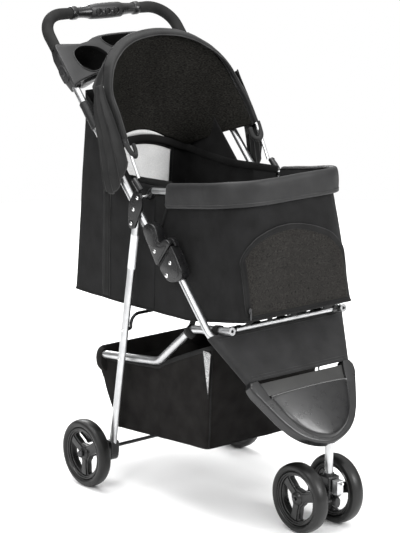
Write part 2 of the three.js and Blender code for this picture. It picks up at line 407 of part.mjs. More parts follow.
// wheels
const tyreProfile = (R, w) => { const h = w / 2; return [[R - 16.5, -h * 0.72], [R - 11, -h * 0.98], [R - 4, -h * 0.86], [R, -h * 0.35], [R, h * 0.35], [R - 4, h * 0.86], [R - 11, h * 0.98], [R - 16.5, h * 0.72], [R - 16.5, -h * 0.72]]; };
function lathe(profile, n) { const g = new THREE.LatheGeometry(profile.map(([a, b]) => new THREE.Vector2(a, b)), n); g.rotateZ(-Math.PI / 2); g.rotateX(Math.PI / 2); return g; }
function wheel(name, x, y, R, w, seg, spin) {
  const N = 24;
  const tyre = lathe(tyreProfile(R, w), N); tyre.translate(x, y, R);
  put(name.replace('wheel', 'tyre'), tyre, RUBBER());
  const rr = R - 16.5 - GAP, h = w / 2;
  let g = solid(lathe([[rr - 7, -h * 0.8], [rr, -h * 0.7], [rr, h * 0.7], [rr - 7, h * 0.8], [rr - 7, -h * 0.8]], N));
  const spoke = [];
  for (let k = 0; k < 3; k++) {
    const s = box(-h * 0.45, h * 0.45, -11, 11, 6, rr - 3); s.rotateX(spin + k * 2 * Math.PI / 3);
    g = g.add(solid(s));
  }
  g = g.add(solid(pinX([0, 0], -h, h, 16, 18))).subtract(solid(pinX([0, 0], -h - 5, h + 5, 4 + GAP)));
  const gg = geo(g); gg.translate(x, y, R);
  put(name.replace('wheel', 'rim'), gg, PLASTIC());
}
wheel('front_wheel_right', -FRONT_WHEEL_X, FRONT_Y, FRONT_R, FRONT_W, 0, 1.257);
wheel('front_wheel_left', FRONT_WHEEL_X, FRONT_Y, FRONT_R, FRONT_W, 0, 1.257);
wheel('rear_wheel_right', -REAR_WHEEL_X, 0, REAR_R, REAR_W, 0, 1.047);
wheel('rear_wheel_left', REAR_WHEEL_X, 0, REAR_R, REAR_W, 0, 1.047);

// ---- fabric ----
// plan outline of a rounded box, n points per corner
function planRing(x, y0, y1, r0, r1, n, f) {
  const out = [];
  const corner = (cx, cy, r, a0) => { for (let i = 0; i < n; i++) { const a = a0 + (Math.PI / 2) * (i / (n - 1)); out.push([cx + r * Math.cos(a), cy + r * Math.sin(a)]); } };
  corner(x - r1, y1 - r1, r1, 0);
  out.push([x * 0.3, y1], [-x * 0.3, y1]);
  corner(-x + r1, y1 - r1, r1, Math.PI / 2);
  for (const t of [0.25, 0.5, 0.75]) out.push([-x, y1 - r1 + (y0 + r0 - y1 + r1) * t]);
  corner(-x + r0, y0 + r0, r0, Math.PI);
  out.push([-x * 0.3, y0], [x * 0.3, y0]);
  corner(x - r0, y0 + r0, r0, 1.5 * Math.PI);
  for (const t of [0.25, 0.5, 0.75]) out.push([x, y0 + r0 + (y1 - r1 - y0 - r0) * t]);
  return out.map(([a, b]) => f(a, b));
}
const lerp = (a, b, t) => a + (b - a) * t;
// cabin: bottom and top heights along y
const cabBottom = (y) => (y > -272 ? lerp(421, 412, (y + 272) / 403) : lerp(421, 453, (-272 - y) / 183));
const rimZ = (y) => lerp(RIM_PIV[1] + 2, RIM_Z, (y - (RIM_PIV[0] - 12)) / (RIM_Y - RIM_PIV[0] + 12));
const cabTop = (y) => {
  if (y < -214) return rimZ(y) - 27.5;
  const side = Math.min(686, lerp(rimZ(-214) - 27.5, 686, Math.min(1, (y + 214) / 60)));
  const up = U_PT[1] + (y - U_PT[0]) * U_DIR[1] / U_DIR[0] - 16;
  return Math.max(side, Math.min(up, 850));
};
{
  const ringAtH = (h, inset, zoff = 0) => {
    // h: 0 bottom .. 1 top
    const f = (a, b) => {
      const z0 = cabBottom(b) + zoff, z1 = cabTop(b);
      const z = lerp(z0, z1, h);
      return V(a, b, z);
    };
    const x = lerp(149, 147, h) - inset, y0 = lerp(-455, -425, h) + inset, y1 = lerp(130, 90, h) - inset;
    return planRing(x, y0, y1, Math.max(10, lerp(26, 50, h) - inset), Math.max(8, 22 - inset), 4, f);
  };
  const T = 2.6;
  const rings = [];
  for (const h of [0, 0.25, 0.5, 0.75, 1]) rings.push(ringAtH(h, 0));
  for (const h of [1, 0.75, 0.5, 0.25, 0]) rings.push(ringAtH(h, T, h < 1 ? 3 * (1 - h) : 0));
  put('cabin_shell', loft(rings, true), CLOTH());
  put('floor_board', box(-138, 138, -262, 118, 427, 431), DARK());
  put('cabin_pad', box(-138, 138, -262, 118, 431.6, 453), CLOTH());
}
// basket
{
  const bTop = (y) => (y > -179 ? lerp(298, 268.5, (y + 179) / 235) : lerp(298, 366, Math.min(1, (-179 - y) / 167)));
  const bBot = (y) => lerp(127, 152, Math.min(1, (-y + 10) / 340));
  const ringAtH = (h, inset, zoff = 0) => planRing(lerp(146, 151, h) - inset, lerp(-334, -348, h) + inset, lerp(-6, 46, h) - inset, Math.max(6, 14 - inset), Math.max(6, 20 - inset), 3, (a, b) => V(a, b, lerp(bBot(b) + zoff, bTop(b), h)));
  const rings = [];
  for (const h of [0, 0.5, 1]) rings.push(ringAtH(h, 0));
  for (const h of [1, 0.5, 0]) rings.push(ringAtH(h, 2.4, h < 1 ? 3 : 0));
  put('basket', loft(rings, true), CLOTH());
}
// canopy hood: from the front bow back to the tray, drawn back and open
const bowHalf = [[-186.5, -122, 742], [-186.5, -100, 780], [-186.5, -72, 828], [-185, -45, 872], [-178, -26, 908], [-160, -6, 943], [-126, 10, 968], [-70, 19, 984], [0, 23, 990]];
const backHalf = [[-189.5, -52, 676], [-190.5, -40, 730], [-191, -30, 790], [-190.5, -14, 840], [-184, 8, 880], [-163, 46, 884], [-138, 68, 872], [-75, 78, 868], [0, 80, 868]];
{
  const full = (h) => [...h, ...h.slice(0, -1).reverse().map(([x, y, z]) => [-x, y, z])].map(([x, y, z]) => V(x, y, z));
  const A = full(bowHalf), B = full(backHalf), rows = [];
  for (const t of [0, 0.33, 0.67, 1]) rows.push(A.map((p, j) => p.clone().lerp(B[j], t).add(V(0, 0, 5 * Math.sin(Math.PI * t)))));
  put('canopy_shell', sheetSolid(rows, 2.2), CLOTH());
  // front bow rod, just inside the canopy's front edge, hinged on the side arms
  const bow = [[-179.5, -147, 706], ...bowHalf.map(([x, y, z]) => [x * 0.955 - 0, y - 6, z - (Math.abs(x) < 130 ? 9 : 5)])];
  bow[1] = [-179.5, -126, 744]; bow[2] = [-178.8, -104, 784]; bow[3] = [-177.8, -77, 830];
  put('canopy_bow', tube(full(bow), 3.5, 0, 8), SILVER());
}
const ARM = [-160, 690];
both('canopy_arm', geo(solid(slabX([[-152, 688], [-163, 688], [-164, 694], [-155, 712], [-146, 714], [-139, 708]], -193, -185.4)).subtract(solid(pinX([-148, 705], -190, -180, 3.5)))), PLASTIC);

export default root;
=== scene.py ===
import bpy, bmesh, json, math
import numpy as np
from mathutils import Vector, Matrix, noise

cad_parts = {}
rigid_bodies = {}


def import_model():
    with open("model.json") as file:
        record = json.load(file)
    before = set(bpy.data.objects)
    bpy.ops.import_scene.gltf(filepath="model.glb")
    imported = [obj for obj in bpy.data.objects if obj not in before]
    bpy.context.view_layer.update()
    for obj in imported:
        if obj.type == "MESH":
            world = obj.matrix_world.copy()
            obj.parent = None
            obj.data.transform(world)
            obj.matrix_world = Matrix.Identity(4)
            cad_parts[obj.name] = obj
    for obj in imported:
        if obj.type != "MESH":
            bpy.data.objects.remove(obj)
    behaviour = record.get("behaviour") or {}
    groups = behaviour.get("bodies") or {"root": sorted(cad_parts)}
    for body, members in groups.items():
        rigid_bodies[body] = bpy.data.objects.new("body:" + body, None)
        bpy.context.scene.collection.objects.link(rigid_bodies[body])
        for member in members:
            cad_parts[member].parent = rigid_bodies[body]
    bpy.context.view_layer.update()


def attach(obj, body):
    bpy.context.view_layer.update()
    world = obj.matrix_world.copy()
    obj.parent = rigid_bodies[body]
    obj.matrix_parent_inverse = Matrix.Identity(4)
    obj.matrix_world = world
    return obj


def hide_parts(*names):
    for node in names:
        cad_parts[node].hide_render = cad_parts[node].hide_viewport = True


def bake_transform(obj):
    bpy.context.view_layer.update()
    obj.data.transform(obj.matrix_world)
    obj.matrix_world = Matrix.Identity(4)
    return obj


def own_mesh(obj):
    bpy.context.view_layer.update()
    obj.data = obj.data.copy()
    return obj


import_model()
SH = 182.9                      # working frame (rear axle at y 0) to the row frame, mm
sc = bpy.context.scene
V = Vector


def fr(p):
    return (p[0] * .001, (p[1] + SH) * .001, p[2] * .001)


# ------------------------------------------------------------------ materials
def new_mat(name):
    m = bpy.data.materials.new(name)
    m.use_nodes = True
    nt = m.node_tree
    b = nt.nodes["Principled BSDF"]
    tc = nt.nodes.new("ShaderNodeTexCoord")
    return m, nt, b, tc


def noise_tex(nt, tc, scale, detail=3, rough=.5, stretch=None):
    n = nt.nodes.new("ShaderNodeTexNoise")
    n.inputs["Scale"].default_value = scale
    n.inputs["Detail"].default_value = detail
    n.inputs["Roughness"].default_value = rough
    if stretch:
        mp = nt.nodes.new("ShaderNodeMapping")
        mp.inputs["Scale"].default_value = stretch
        nt.links.new(tc.outputs["Object"], mp.inputs["Vector"])
        nt.links.new(mp.outputs["Vector"], n.inputs["Vector"])
    else:
        nt.links.new(tc.outputs["Object"], n.inputs["Vector"])
    return n


def ramp(nt, src, lo, hi, a=.3, b=.7):
    r = nt.nodes.new("ShaderNodeValToRGB")
    r.color_ramp.elements[0].position, r.color_ramp.elements[1].position = a, b
    r.color_ramp.elements[0].color, r.color_ramp.elements[1].color = (*lo, 1), (*hi, 1)
    nt.links.new(src, r.inputs["Fac"])
    return r


def bump(nt, b, src, strength, dist, prev=None):
    n = nt.nodes.new("ShaderNodeBump")
    n.inputs["Strength"].default_value = strength
    n.inputs["Distance"].default_value = dist
    nt.links.new(src, n.inputs["Height"])
    if prev:
        nt.links.new(prev.outputs["Normal"], n.inputs["Normal"])
    nt.links.new(n.outputs["Normal"], b.inputs["Normal"])
    return n


def weave(nt, tc, pitch):
    # crossed fine ribs along all three axes, so that it shows on any face
    out = None
    for axis in ("X", "Y", "Z"):
        w = nt.nodes.new("ShaderNodeTexWave")
        w.wave_type, w.bands_direction = "BANDS", axis
        w.inputs["Scale"].default_value = 1 / pitch / 3.18
        w.inputs["Distortion"].default_value = .6
        w.inputs["Detail"].default_value = 1
        nt.links.new(tc.outputs["Object"], w.inputs["Vector"])
        if out is None:
            out = w.outputs["Fac"]
        else:
            a = nt.nodes.new("ShaderNodeMath")
            a.operation = "ADD"
            nt.links.new(out, a.inputs[0])
            nt.links.new(w.outputs["Fac"], a.inputs[1])
            out = a.outputs[0]
    return out


def fabric(name, lo, hi, rough=.82, pitch=.0012, wv=.25, wr=.35, sheen=.05, spec=.13):
    m, nt, b, tc = new_mat(name)
    n = noise_tex(nt, tc, 26, 4)
    r = ramp(nt, n.outputs["Fac"], lo, hi)
    nt.links.new(r.outputs["Color"], b.inputs["Base Color"])
    b.inputs["Roughness"].default_value = rough
    b.inputs["Sheen Weight"].default_value = sheen
    b.inputs["Sheen Roughness"].default_value = .45
    b.inputs["Specular IOR Level"].default_value = spec
    p = bump(nt, b, weave(nt, tc, pitch), wv, .0003)
    w = noise_tex(nt, tc, 14, 3, .55)
    bump(nt, b, w.outputs["Fac"], wr, .006, p)
    return m


def net(name, lo, hi, pitch=.0024, alpha=1.0, rough=.8, spec=.1, flat=(1, 1, 1)):
    m, nt, b, tc = new_mat(name)
    n = noise_tex(nt, tc, 1 / pitch, 1, .5, flat)
    big = noise_tex(nt, tc, 12, 2)
    r = ramp(nt, n.outputs["Fac"], lo, hi, .38, .66)
    r2 = ramp(nt, big.outputs["Fac"], (.8, .8, .8), (1, 1, 1))
    mx = nt.nodes.new("ShaderNodeMix")
    mx.data_type, mx.blend_type = "RGBA", "MULTIPLY"
    mx.inputs["Factor"].default_value = 1
    nt.links.new(r.outputs["Color"], mx.inputs["A"])
    nt.links.new(r2.outputs["Color"], mx.inputs["B"])
    nt.links.new(mx.outputs["Result"], b.inputs["Base Color"])
    b.inputs["Roughness"].default_value = rough
    b.inputs["Specular IOR Level"].default_value = spec
    b.inputs["Alpha"].default_value = alpha
    bump(nt, b, n.outputs["Fac"], .5, .0004)
    return m


def plastic(name, lo, hi, rough=.42, grain=.0009, strength=.22, coat=0.0, spec=.5):
    m, nt, b, tc = new_mat(name)
    n = noise_tex(nt, tc, 18, 3)
    r = ramp(nt, n.outputs["Fac"], lo, hi)
    nt.links.new(r.outputs["Color"], b.inputs["Base Color"])
    rr = ramp(nt, noise_tex(nt, tc, 60, 4).outputs["Fac"], (rough * .85,) * 3, (min(1, rough * 1.2),) * 3)
    nt.links.new(rr.outputs["Color"], b.inputs["Roughness"])
    b.inputs["Specular IOR Level"].default_value = spec
    b.inputs["Coat Weight"].default_value = coat
    b.inputs["Coat Roughness"].default_value = .08
    g = noise_tex(nt, tc, 1 / grain, 2)
    bump(nt, b, g.outputs["Fac"], strength, .0002)
    return m


def metal(name, lo, hi, rough=.3, stretch=(1, 1, 1), m_=1.0):
    m, nt, b, tc = new_mat(name)
    n = noise_tex(nt, tc, 40, 3)
    r = ramp(nt, n.outputs["Fac"], lo, hi)
    nt.links.new(r.outputs["Color"], b.inputs["Base Color"])
    b.inputs["Metallic"].default_value = m_
    rr = ramp(nt, noise_tex(nt, tc, 220, 4, .6, stretch).outputs["Fac"], (rough * .8,) * 3, (rough * 1.3,) * 3)
    nt.links.new(rr.outputs["Color"], b.inputs["Roughness"])
    bump(nt, b, noise_tex(nt, tc, 500, 2, .5, stretch).outputs["Fac"], .06, .0001)
    return m


M = {
    "silver": metal("silver_tube", (.44, .445, .45), (.55, .555, .56), .36),
    "steel": metal("steel_rivet", (.55, .55, .55), (.72, .72, .72), .24),
    "dark": metal("dark_rod", (.05, .05, .052), (.08, .08, .082), .4),
    "sleeve": metal("leg_sleeve", (.76, .77, .78), (.84, .85, .86), .5, m_=.35),
    "plastic": plastic("black_plastic", (.006, .006, .0063), (.011, .011, .0115), .28, spec=.38),
    "tray": plastic("tray_plastic", (.012, .012, .0125), (.019, .019, .0195), .4, spec=.42),
    "gloss": plastic("glossy_plastic", (.007, .007, .0073), (.009, .009, .0094), .3, .002, 0, .12, spec=.4),
    # painted highlight: a lighter, glossier plastic that paints the bright line along the fender lip's top edge
    "painted_highlight_edge": plastic("painted_highlight_plastic", (.03, .03, .03), (.04, .04, .04), .2, .002, 0, .5, spec=.9),
    "plate": plastic("recess_plastic", (.016, .016, .0155), (.024, .024, .023), .42, spec=.35),
    "foam": plastic("foam", (.012, .012, .012), (.021, .021, .0205), .9, .0011, .8, spec=.12),
    "fabric": fabric("cabin_cloth", (.0055, .0055, .0055), (.0105, .0105, .0108), .8, sheen=.03, spec=.13),
    "fabric2": fabric("rim_cloth", (.0085, .0085, .0087), (.015, .015, .0155), .52, .0010, .15, .3, .04, spec=.3),
    "hood": fabric("hood_cloth", (.007, .007, .007), (.014, .014, .014), .62, .0012, .2, .45, .04, spec=.22),
    "panel": fabric("panel_cloth", (.017, .017, .0173), (.025, .025, .0255), .75, .0011, .3, .1, .03, spec=.12),
    "basket": fabric("basket_cloth", (.0055, .005, .0048), (.0125, .0118, .0112), .92, .0016, .4, .3, .02, spec=.08),
    "binding": fabric("binding", (.004, .004, .004), (.009, .009, .009), .7, .0009, .3, .1, .03, spec=.14),
    "seam": fabric("thread", (.022, .022, .022), (.045, .045, .045), .7, .0008, .3, .1, .03, spec=.15),
    "net_dark": net("net_dark", (.004, .004, .0038), (.036, .034, .031), .0013, spec=.08),
    "net_hood": net("net_hood", (.004, .004, .0035), (.028, .027, .024), .0016, spec=.06, flat=(.35, .35, 2.2)),
    "net_light": net("net_light", (.8, .8, .795), (.97, .97, .965), .0016, .85, spec=.2),
    "net_grey": net("net_grey", (.2, .2, .2), (.75, .75, .75), .0022, .9, spec=.2),
    "tyre": plastic("tyre_rubber", (.0045, .0045, .0043), (.009, .009, .0088), .38, .002, .2, spec=.3),
    "rim": plastic("rim_plastic", (.005, .005, .005), (.01, .01, .01), .3, spec=.4),
    "pad": fabric("cushion_cloth", (.014, .014, .0145), (.024, .024, .025), .85, .0014, .35, .4, .05, spec=.12),
}


# ------------------------------------------------------------------ mesh helpers
def obj(name, verts, faces, mat, smooth=True, sharp=35):
    me = bpy.data.meshes.new(name)
    me.from_pydata([fr(p) for p in verts], [], faces)
    bm = bmesh.new()
    bm.from_mesh(me)
    bmesh.ops.remove_doubles(bm, verts=bm.verts, dist=1e-7)
    bmesh.ops.recalc_face_normals(bm, faces=bm.faces)
    bm.to_mesh(me)
    bm.free()
    if smooth:
        me.shade_smooth()
        me.set_sharp_from_angle(angle=math.radians(sharp))
    me.materials.append(M[mat])
    o = bpy.data.objects.new(name, me)
    sc.collection.objects.link(o)
    return o


def done(o, body, rep=()):
    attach(o, body)
    if rep:
        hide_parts(*([rep] if isinstance(rep, str) else rep))
    return o


def mirror(o, name):
    n = o.copy()
    n.data = o.data.copy()
    n.name = name
    sc.collection.objects.link(n)
    n.data.transform(Matrix.Diagonal((-1, 1, 1, 1)))
    n.data.flip_normals()
    return n


def rounded(points, radii, step=8):
    points = [V(p) for p in points]
    out = [points[0].copy()]
    for i in range(1, len(points) - 1):
        p, r = points[i], radii[i - 1]
        a, b = (points[i - 1] - p).normalized(), (points[i + 1] - p).normalized()
        ang = math.pi - a.angle(b)
        if not r or ang < .02:
            out.append(p.copy())
            continue
        t = r * math.tan(ang / 2)
        n = max(3, math.ceil(math.degrees(ang) / step))
        c = p + (a + b).normalized() * (r / math.cos(ang / 2))
        e0 = (p + a * t - c).normalized()
        ax = (-a).cross(b).normalized()
        for k in range(n + 1):
            out.append(c + (Matrix.Rotation(ang * k / n, 3, ax) @ e0) * r)
    out.append(points[-1].copy())
    return out


def spl(pts, n=6, closed=False):
    """Catmull-Rom through the points."""
    P = [V(p) for p in pts]
    m = len(P)
    out = []
    last = m if closed else m - 1
    for i in range(last):
        p1, p2 = P[i], P[(i + 1) % m]
        p0 = P[i - 1] if (closed or i > 0) else p1 * 2 - p2
        p3 = P[(i + 2) % m] if (closed or i + 2 < m) else p2 * 2 - p1
        for k in range(n):
            t = k / n
            out.append(.5 * ((2 * p1) + (p2 - p0) * t + (2 * p0 - 5 * p1 + 4 * p2 - p3) * t * t + (3 * p1 - p0 - 3 * p2 + p3) * t ** 3))
    if not closed:
        out.append(P[-1].copy())
    return out


def frames(pts, closed=False):
    m = len(pts)
    T = []
    for i in range(m):
        a = pts[(i - 1) % m] if (closed or i) else pts[i]
        b = pts[(i + 1) % m] if (closed or i < m - 1) else pts[i]
        T.append((b - a).normalized())
    ref = V((0, 0, 1)) if abs(T[0].z) < .9 else V((0, 1, 0))
    n = (ref - T[0] * ref.dot(T[0])).normalized()
    N = [n]
    for i in range(1, m):
        n = (N[-1] - T[i] * N[-1].dot(T[i])).normalized()
        N.append(n)
    return T, N


def tube(name, pts, r, mat, seg=20, caps=True, oval=None, closed=False, up=None, wall=0, sharp=35):
    """A round or oval section along a route; r is a number or one per point."""
    pts = [V(p) for p in pts]
    T, N = frames(pts, closed)
    vs, fs = [], []
    m = len(pts)
    rr = r if hasattr(r, "__len__") else [r] * m
    for i, p in enumerate(pts):
        n = N[i]
        if up is not None:
            u = V(up)
            n = (u - T[i] * u.dot(T[i])).normalized()
        b = T[i].cross(n)
        a_, b_ = (oval if oval else (1, 1))
        for k in range(seg):
            t = 2 * math.pi * k / seg
            vs.append(p + n * (rr[i] * a_ * math.cos(t)) + b * (rr[i] * b_ * math.sin(t)))
    for i in range(m if closed else m - 1):
        for k in range(seg):
            a, b = i * seg + k, i * seg + (k + 1) % seg
            c, d = ((i + 1) % m) * seg + k, ((i + 1) % m) * seg + (k + 1) % seg
            fs.append((a, b, d, c))
    if not closed:
        for i, s in ((0, -1), (m - 1, 1)):
            if wall:      # an open tube end: a short blind bore
                depth, q = 30, rr[i] - wall
                base = len(vs)
                for off in (0, -s * depth):
                    for k in range(seg):
                        t = 2 * math.pi * k / seg
                        n = N[i] if up is None else (V(up) - T[i] * V(up).dot(T[i])).normalized()
                        b = T[i].cross(n)
                        vs.append(pts[i] + T[i] * off + n * (q * math.cos(t)) + b * (q * math.sin(t)))
                for k in range(seg):
                    o0, o1 = i * seg + k, i * seg + (k + 1) % seg
                    a, b = base + k, base + (k + 1) % seg
                    fs.append((o0, o1, b, a))
                    fs.append((a, b, b + seg, a + seg))
                fs.append(tuple(base + seg + k for k in range(seg)))
            elif caps:
                fs.append(tuple(i * seg + k for k in range(seg)))
    return obj(name, vs, fs, mat, sharp=sharp)


def lathe_x(name, c, prof, mat, seg=64, sharp=30):
    """Profile of (radius, offset along X) turned about the X axis through c; closed loop."""
    vs, fs = [], []
    n = len(prof)
    for i in range(seg):
        a = 2 * math.pi * i / seg
        for r, off in prof:
            vs.append((c[0] + off, c[1] + r * math.cos(a), c[2] + r * math.sin(a)))
    for i in range(seg):
        for k in range(n):
            a, b = i * n + k, i * n + (k + 1) % n
            c2, d = ((i + 1) % seg) * n + k, ((i + 1) % seg) * n + (k + 1) % n
            fs.append((a, b, d, c2))
    return obj(name, vs, fs, mat, sharp=sharp)


def plate(name, outline, origin, u, v, depth, mat, bevel=1.2, holes=(), res=3, sharp=32):
    """A flat shape with rounded edges: outline and holes in (u, v), thickness `depth` along u x v from origin."""
    cu = bpy.data.curves.new(name, "CURVE")
    cu.dimensions = "2D"
    cu.fill_mode = "BOTH"
    for loop in [outline, *holes]:
        s = cu.splines.new("POLY")
        s.points.add(len(loop) - 1)
        for k, p in enumerate(loop):
            s.points[k].co = (p[0] * .001, p[1] * .001, 0, 1)
        s.use_cyclic_u = True
    cu.extrude = max(depth / 2 - bevel, .01) * .001
    cu.bevel_depth = bevel * .001
    cu.bevel_resolution = res
    cu.offset = -bevel * .001
    tmp = bpy.data.objects.new("tmp_" + name, cu)
    sc.collection.objects.link(tmp)
    bpy.context.view_layer.update()
    me = bpy.data.meshes.new_from_object(tmp.evaluated_get(bpy.context.evaluated_depsgraph_get()))
    bpy.data.objects.remove(tmp)
    U, W = V(u).normalized(), V(v).normalized()
    n = U.cross(W)
    o3 = V(fr(origin)) + n * (depth / 2 * .001)
    mt = Matrix(((U.x, W.x, n.x, o3.x), (U.y, W.y, n.y, o3.y), (U.z, W.z, n.z, o3.z), (0, 0, 0, 1)))
    me.transform(mt)
    bm = bmesh.new()
    bm.from_mesh(me)
    bmesh.ops.remove_doubles(bm, verts=bm.verts, dist=2e-6)
    bmesh.ops.recalc_face_normals(bm, faces=bm.faces)
    bm.to_mesh(me)
    bm.free()
    me.name = name
    me.shade_smooth()
    me.set_sharp_from_angle(angle=math.radians(sharp))
    me.materials.clear()
    me.materials.append(M[mat])
    o = bpy.data.objects.new(name, me)
    sc.collection.objects.link(o)
    return o


def plate_x(name, outline, x0, x1, mat, bevel=1.2, holes=(), **k):
    """Outline in (y, z), between x0 and x1."""
    return plate(name, outline, (min(x0, x1), 0 - 0, 0), (0, 1, 0), (0, 0, 1), abs(x1 - x0), mat, bevel, holes, **k)


def rsmooth(loop, it=2):
    """Rounds a polygon's corners by cutting them."""
    P = [V((p[0], p[1])) for p in loop]
    for _ in range(it):
        Q = []
        for i in range(len(P)):
            a, b = P[i], P[(i + 1) % len(P)]
            Q += [a.lerp(b, .25), a.lerp(b, .75)]
        P = Q
    return [(p.x, p.y) for p in P]


def grid(name, rows, mat, thick=0, closed=False, drop=None, subd=0, sharp=60):
    """Rows of points as a smooth surface; `drop(i, j, centre)` leaves faces out; thick adds thickness."""
    m, n = len(rows), len(rows[0])
    vs = [p for r in rows for p in r]
    fs = []
    for i in range(m - 1):
        for j in range(n if closed else n - 1):
            a, b = i * n + j, i * n + (j + 1) % n
            c, d = a + n, (i + 1) * n + (j + 1) % n
            if drop and drop(i, j, (V(vs[a]) + V(vs[b]) + V(vs[c]) + V(vs[d])) / 4):
                continue
            fs.append((a, b, d, c))
    o = obj(name, vs, fs, mat, sharp=sharp)
    bm = bmesh.new()
    bm.from_mesh(o.data)
    loose = [v for v in bm.verts if not v.link_faces]
    bmesh.ops.delete(bm, geom=loose, context="VERTS")
    bm.to_mesh(o.data)
    bm.free()
    if thick:
        s = o.modifiers.new("thick", "SOLIDIFY")
        s.thickness = thick * .001
        s.offset = 0
    if subd:
        s = o.modifiers.new("smooth", "SUBSURF")
        s.levels = s.render_levels = subd
    return o


def lerp(a, b, t):
    return a + (b - a) * t


def nz(p, s, seed=0):
    return noise.noise(V((p[0] / s + seed * 13.7, p[1] / s - seed * 7.1, p[2] / s + seed * 3.3)))


def rivet(name, c, x, sign, r=4.2, h=1.8, mat="steel"):
    """A domed rivet head on a face at x, standing out by h towards sign."""
    prof = [(0.01, h), (r * .45, h * .95), (r * .8, h * .6), (r, h * .1), (r, -.4), (0.01, -.4)]
    vs, fs, seg = [], [], 24
    for i in range(seg):
        a = 2 * math.pi * i / seg
        for q, o_ in prof:
            vs.append((x + sign * o_, c[0] + q * math.cos(a), c[1] + q * math.sin(a)))
    n = len(prof)
    for i in range(seg):
        for k in range(n - 1):
            a, b = i * n + k, i * n + k + 1
            fs.append((a, b, ((i + 1) % seg) * n + k + 1, ((i + 1) % seg) * n + k))
    return obj(name, vs, fs, mat)


# ------------------------------------------------------------------ dimensions
XF = 176.6
UD, UN, UP0 = (.681, .732), (-.732, .681), (75, 867.7)


def up_(x, s, w=0):
    return V((x, UP0[0] + s * UD[0] + w * UN[0], UP0[1] + s * UD[1] + w * UN[1]))


# ------------------------------------------------------------------ handle
S_TOP = 200
hroute = rounded([up_(-XF, -424), up_(-XF, S_TOP), up_(XF, S_TOP), up_(XF, -424)], [58, 58], 6)
done(tube("handle_tube_smooth", hroute, 8, "silver", 28), "handle_frame", "handle_tube")
froute = rounded([up_(-XF, 106), up_(-XF, S_TOP), up_(-92.5, S_TOP)], [58], 5)
for side, sg in (("right", 1), ("left", -1)):
    pts = [V((p.x * sg, p.y, p.z)) for p in froute]
    rr = [12.4] + [13] * (len(pts) - 2) + [12.4]
    done(tube("foam_grip_" + side, pts, rr, "foam", 28), "handle_frame", "foam_sleeve_" + side)
    hy, hz = up_(0, S_TOP).y, up_(0, S_TOP).z
    X = [93, 90, 89, 80.5, 79, 78, 66, 52, 44, 43]
    R = [14.3, 15.2, 15.2, 15.2, 14.2, 12.4, 12.3, 13.6, 15.2, 14.6]
    done(tube("grip_neck_" + side, [V((-x * sg, hy, hz)) for x in X], R, "plastic", 28), "handle_frame", "grip_collar_" + side)
hy, hz = up_(0, S_TOP).y, up_(0, S_TOP).z
rows = []
for i, (x, s_) in enumerate([(-45, .8), (-43.5, .93), (-40, 1), (-20, 1.04), (0, 1.05), (20, 1.04), (40, 1), (43.5, .93), (45, .8)]):
    row = []
    for k in range(36):
        a = 2 * math.pi * k / 36
        ca, sa = math.cos(a), math.sin(a)
        q = 1 / (abs(ca) ** 3 + abs(sa) ** 3) ** (1 / 3)
        row.append(V((x, hy + 14 * s_ * q * ca, hz + 16.8 * s_ * q * sa)))
    rows.append(row)
vs = [p for r in rows for p in r]
n = 36
fs = [(i * n + k, i * n + (k + 1) % n, (i + 1) * n + (k + 1) % n, (i + 1) * n + k) for i in range(8) for k in range(n)]
fs += [tuple(range(n)), tuple(range(8 * n, 9 * n))]
gb = done(obj("grip_centre", vs, fs, "tray"), "handle_frame", "grip_body")
for k, x in enumerate((-24, 0, 24)):      # three finger windows with a raised ring
    ol = rsmooth([(-7.5, -8), (4, -8), (8, 0), (4, 8), (-7.5, 8)], 2)
    inn = [(a * .72, b * .72) for a, b in ol]
    done(plate(f"grip_ring_{k}", ol, (x, hy - 14.6, hz), (1, 0, 0), (0, 0, 1), 2.2, "gloss", .7, [inn]), "handle_frame")
    done(plate(f"grip_slot_{k}", [(a * .74, b * .74) for a, b in ol], (x, hy - 14.3, hz), (1, 0, 0), (0, 0, 1), .8, "rim", .2), "handle_frame")
    for dz in (-13.5, 13.5):
        done(tube(f"grip_dot_{k}_{int(dz > 0)}", [V((x + 12 * (k < 2), hy - 12.8, hz + dz * .0)), V((x + 12 * (k < 2), hy - 15.6, hz + dz * .0))], 1.3, "steel", 12), "handle_frame") if dz > 0 and k < 2 else None

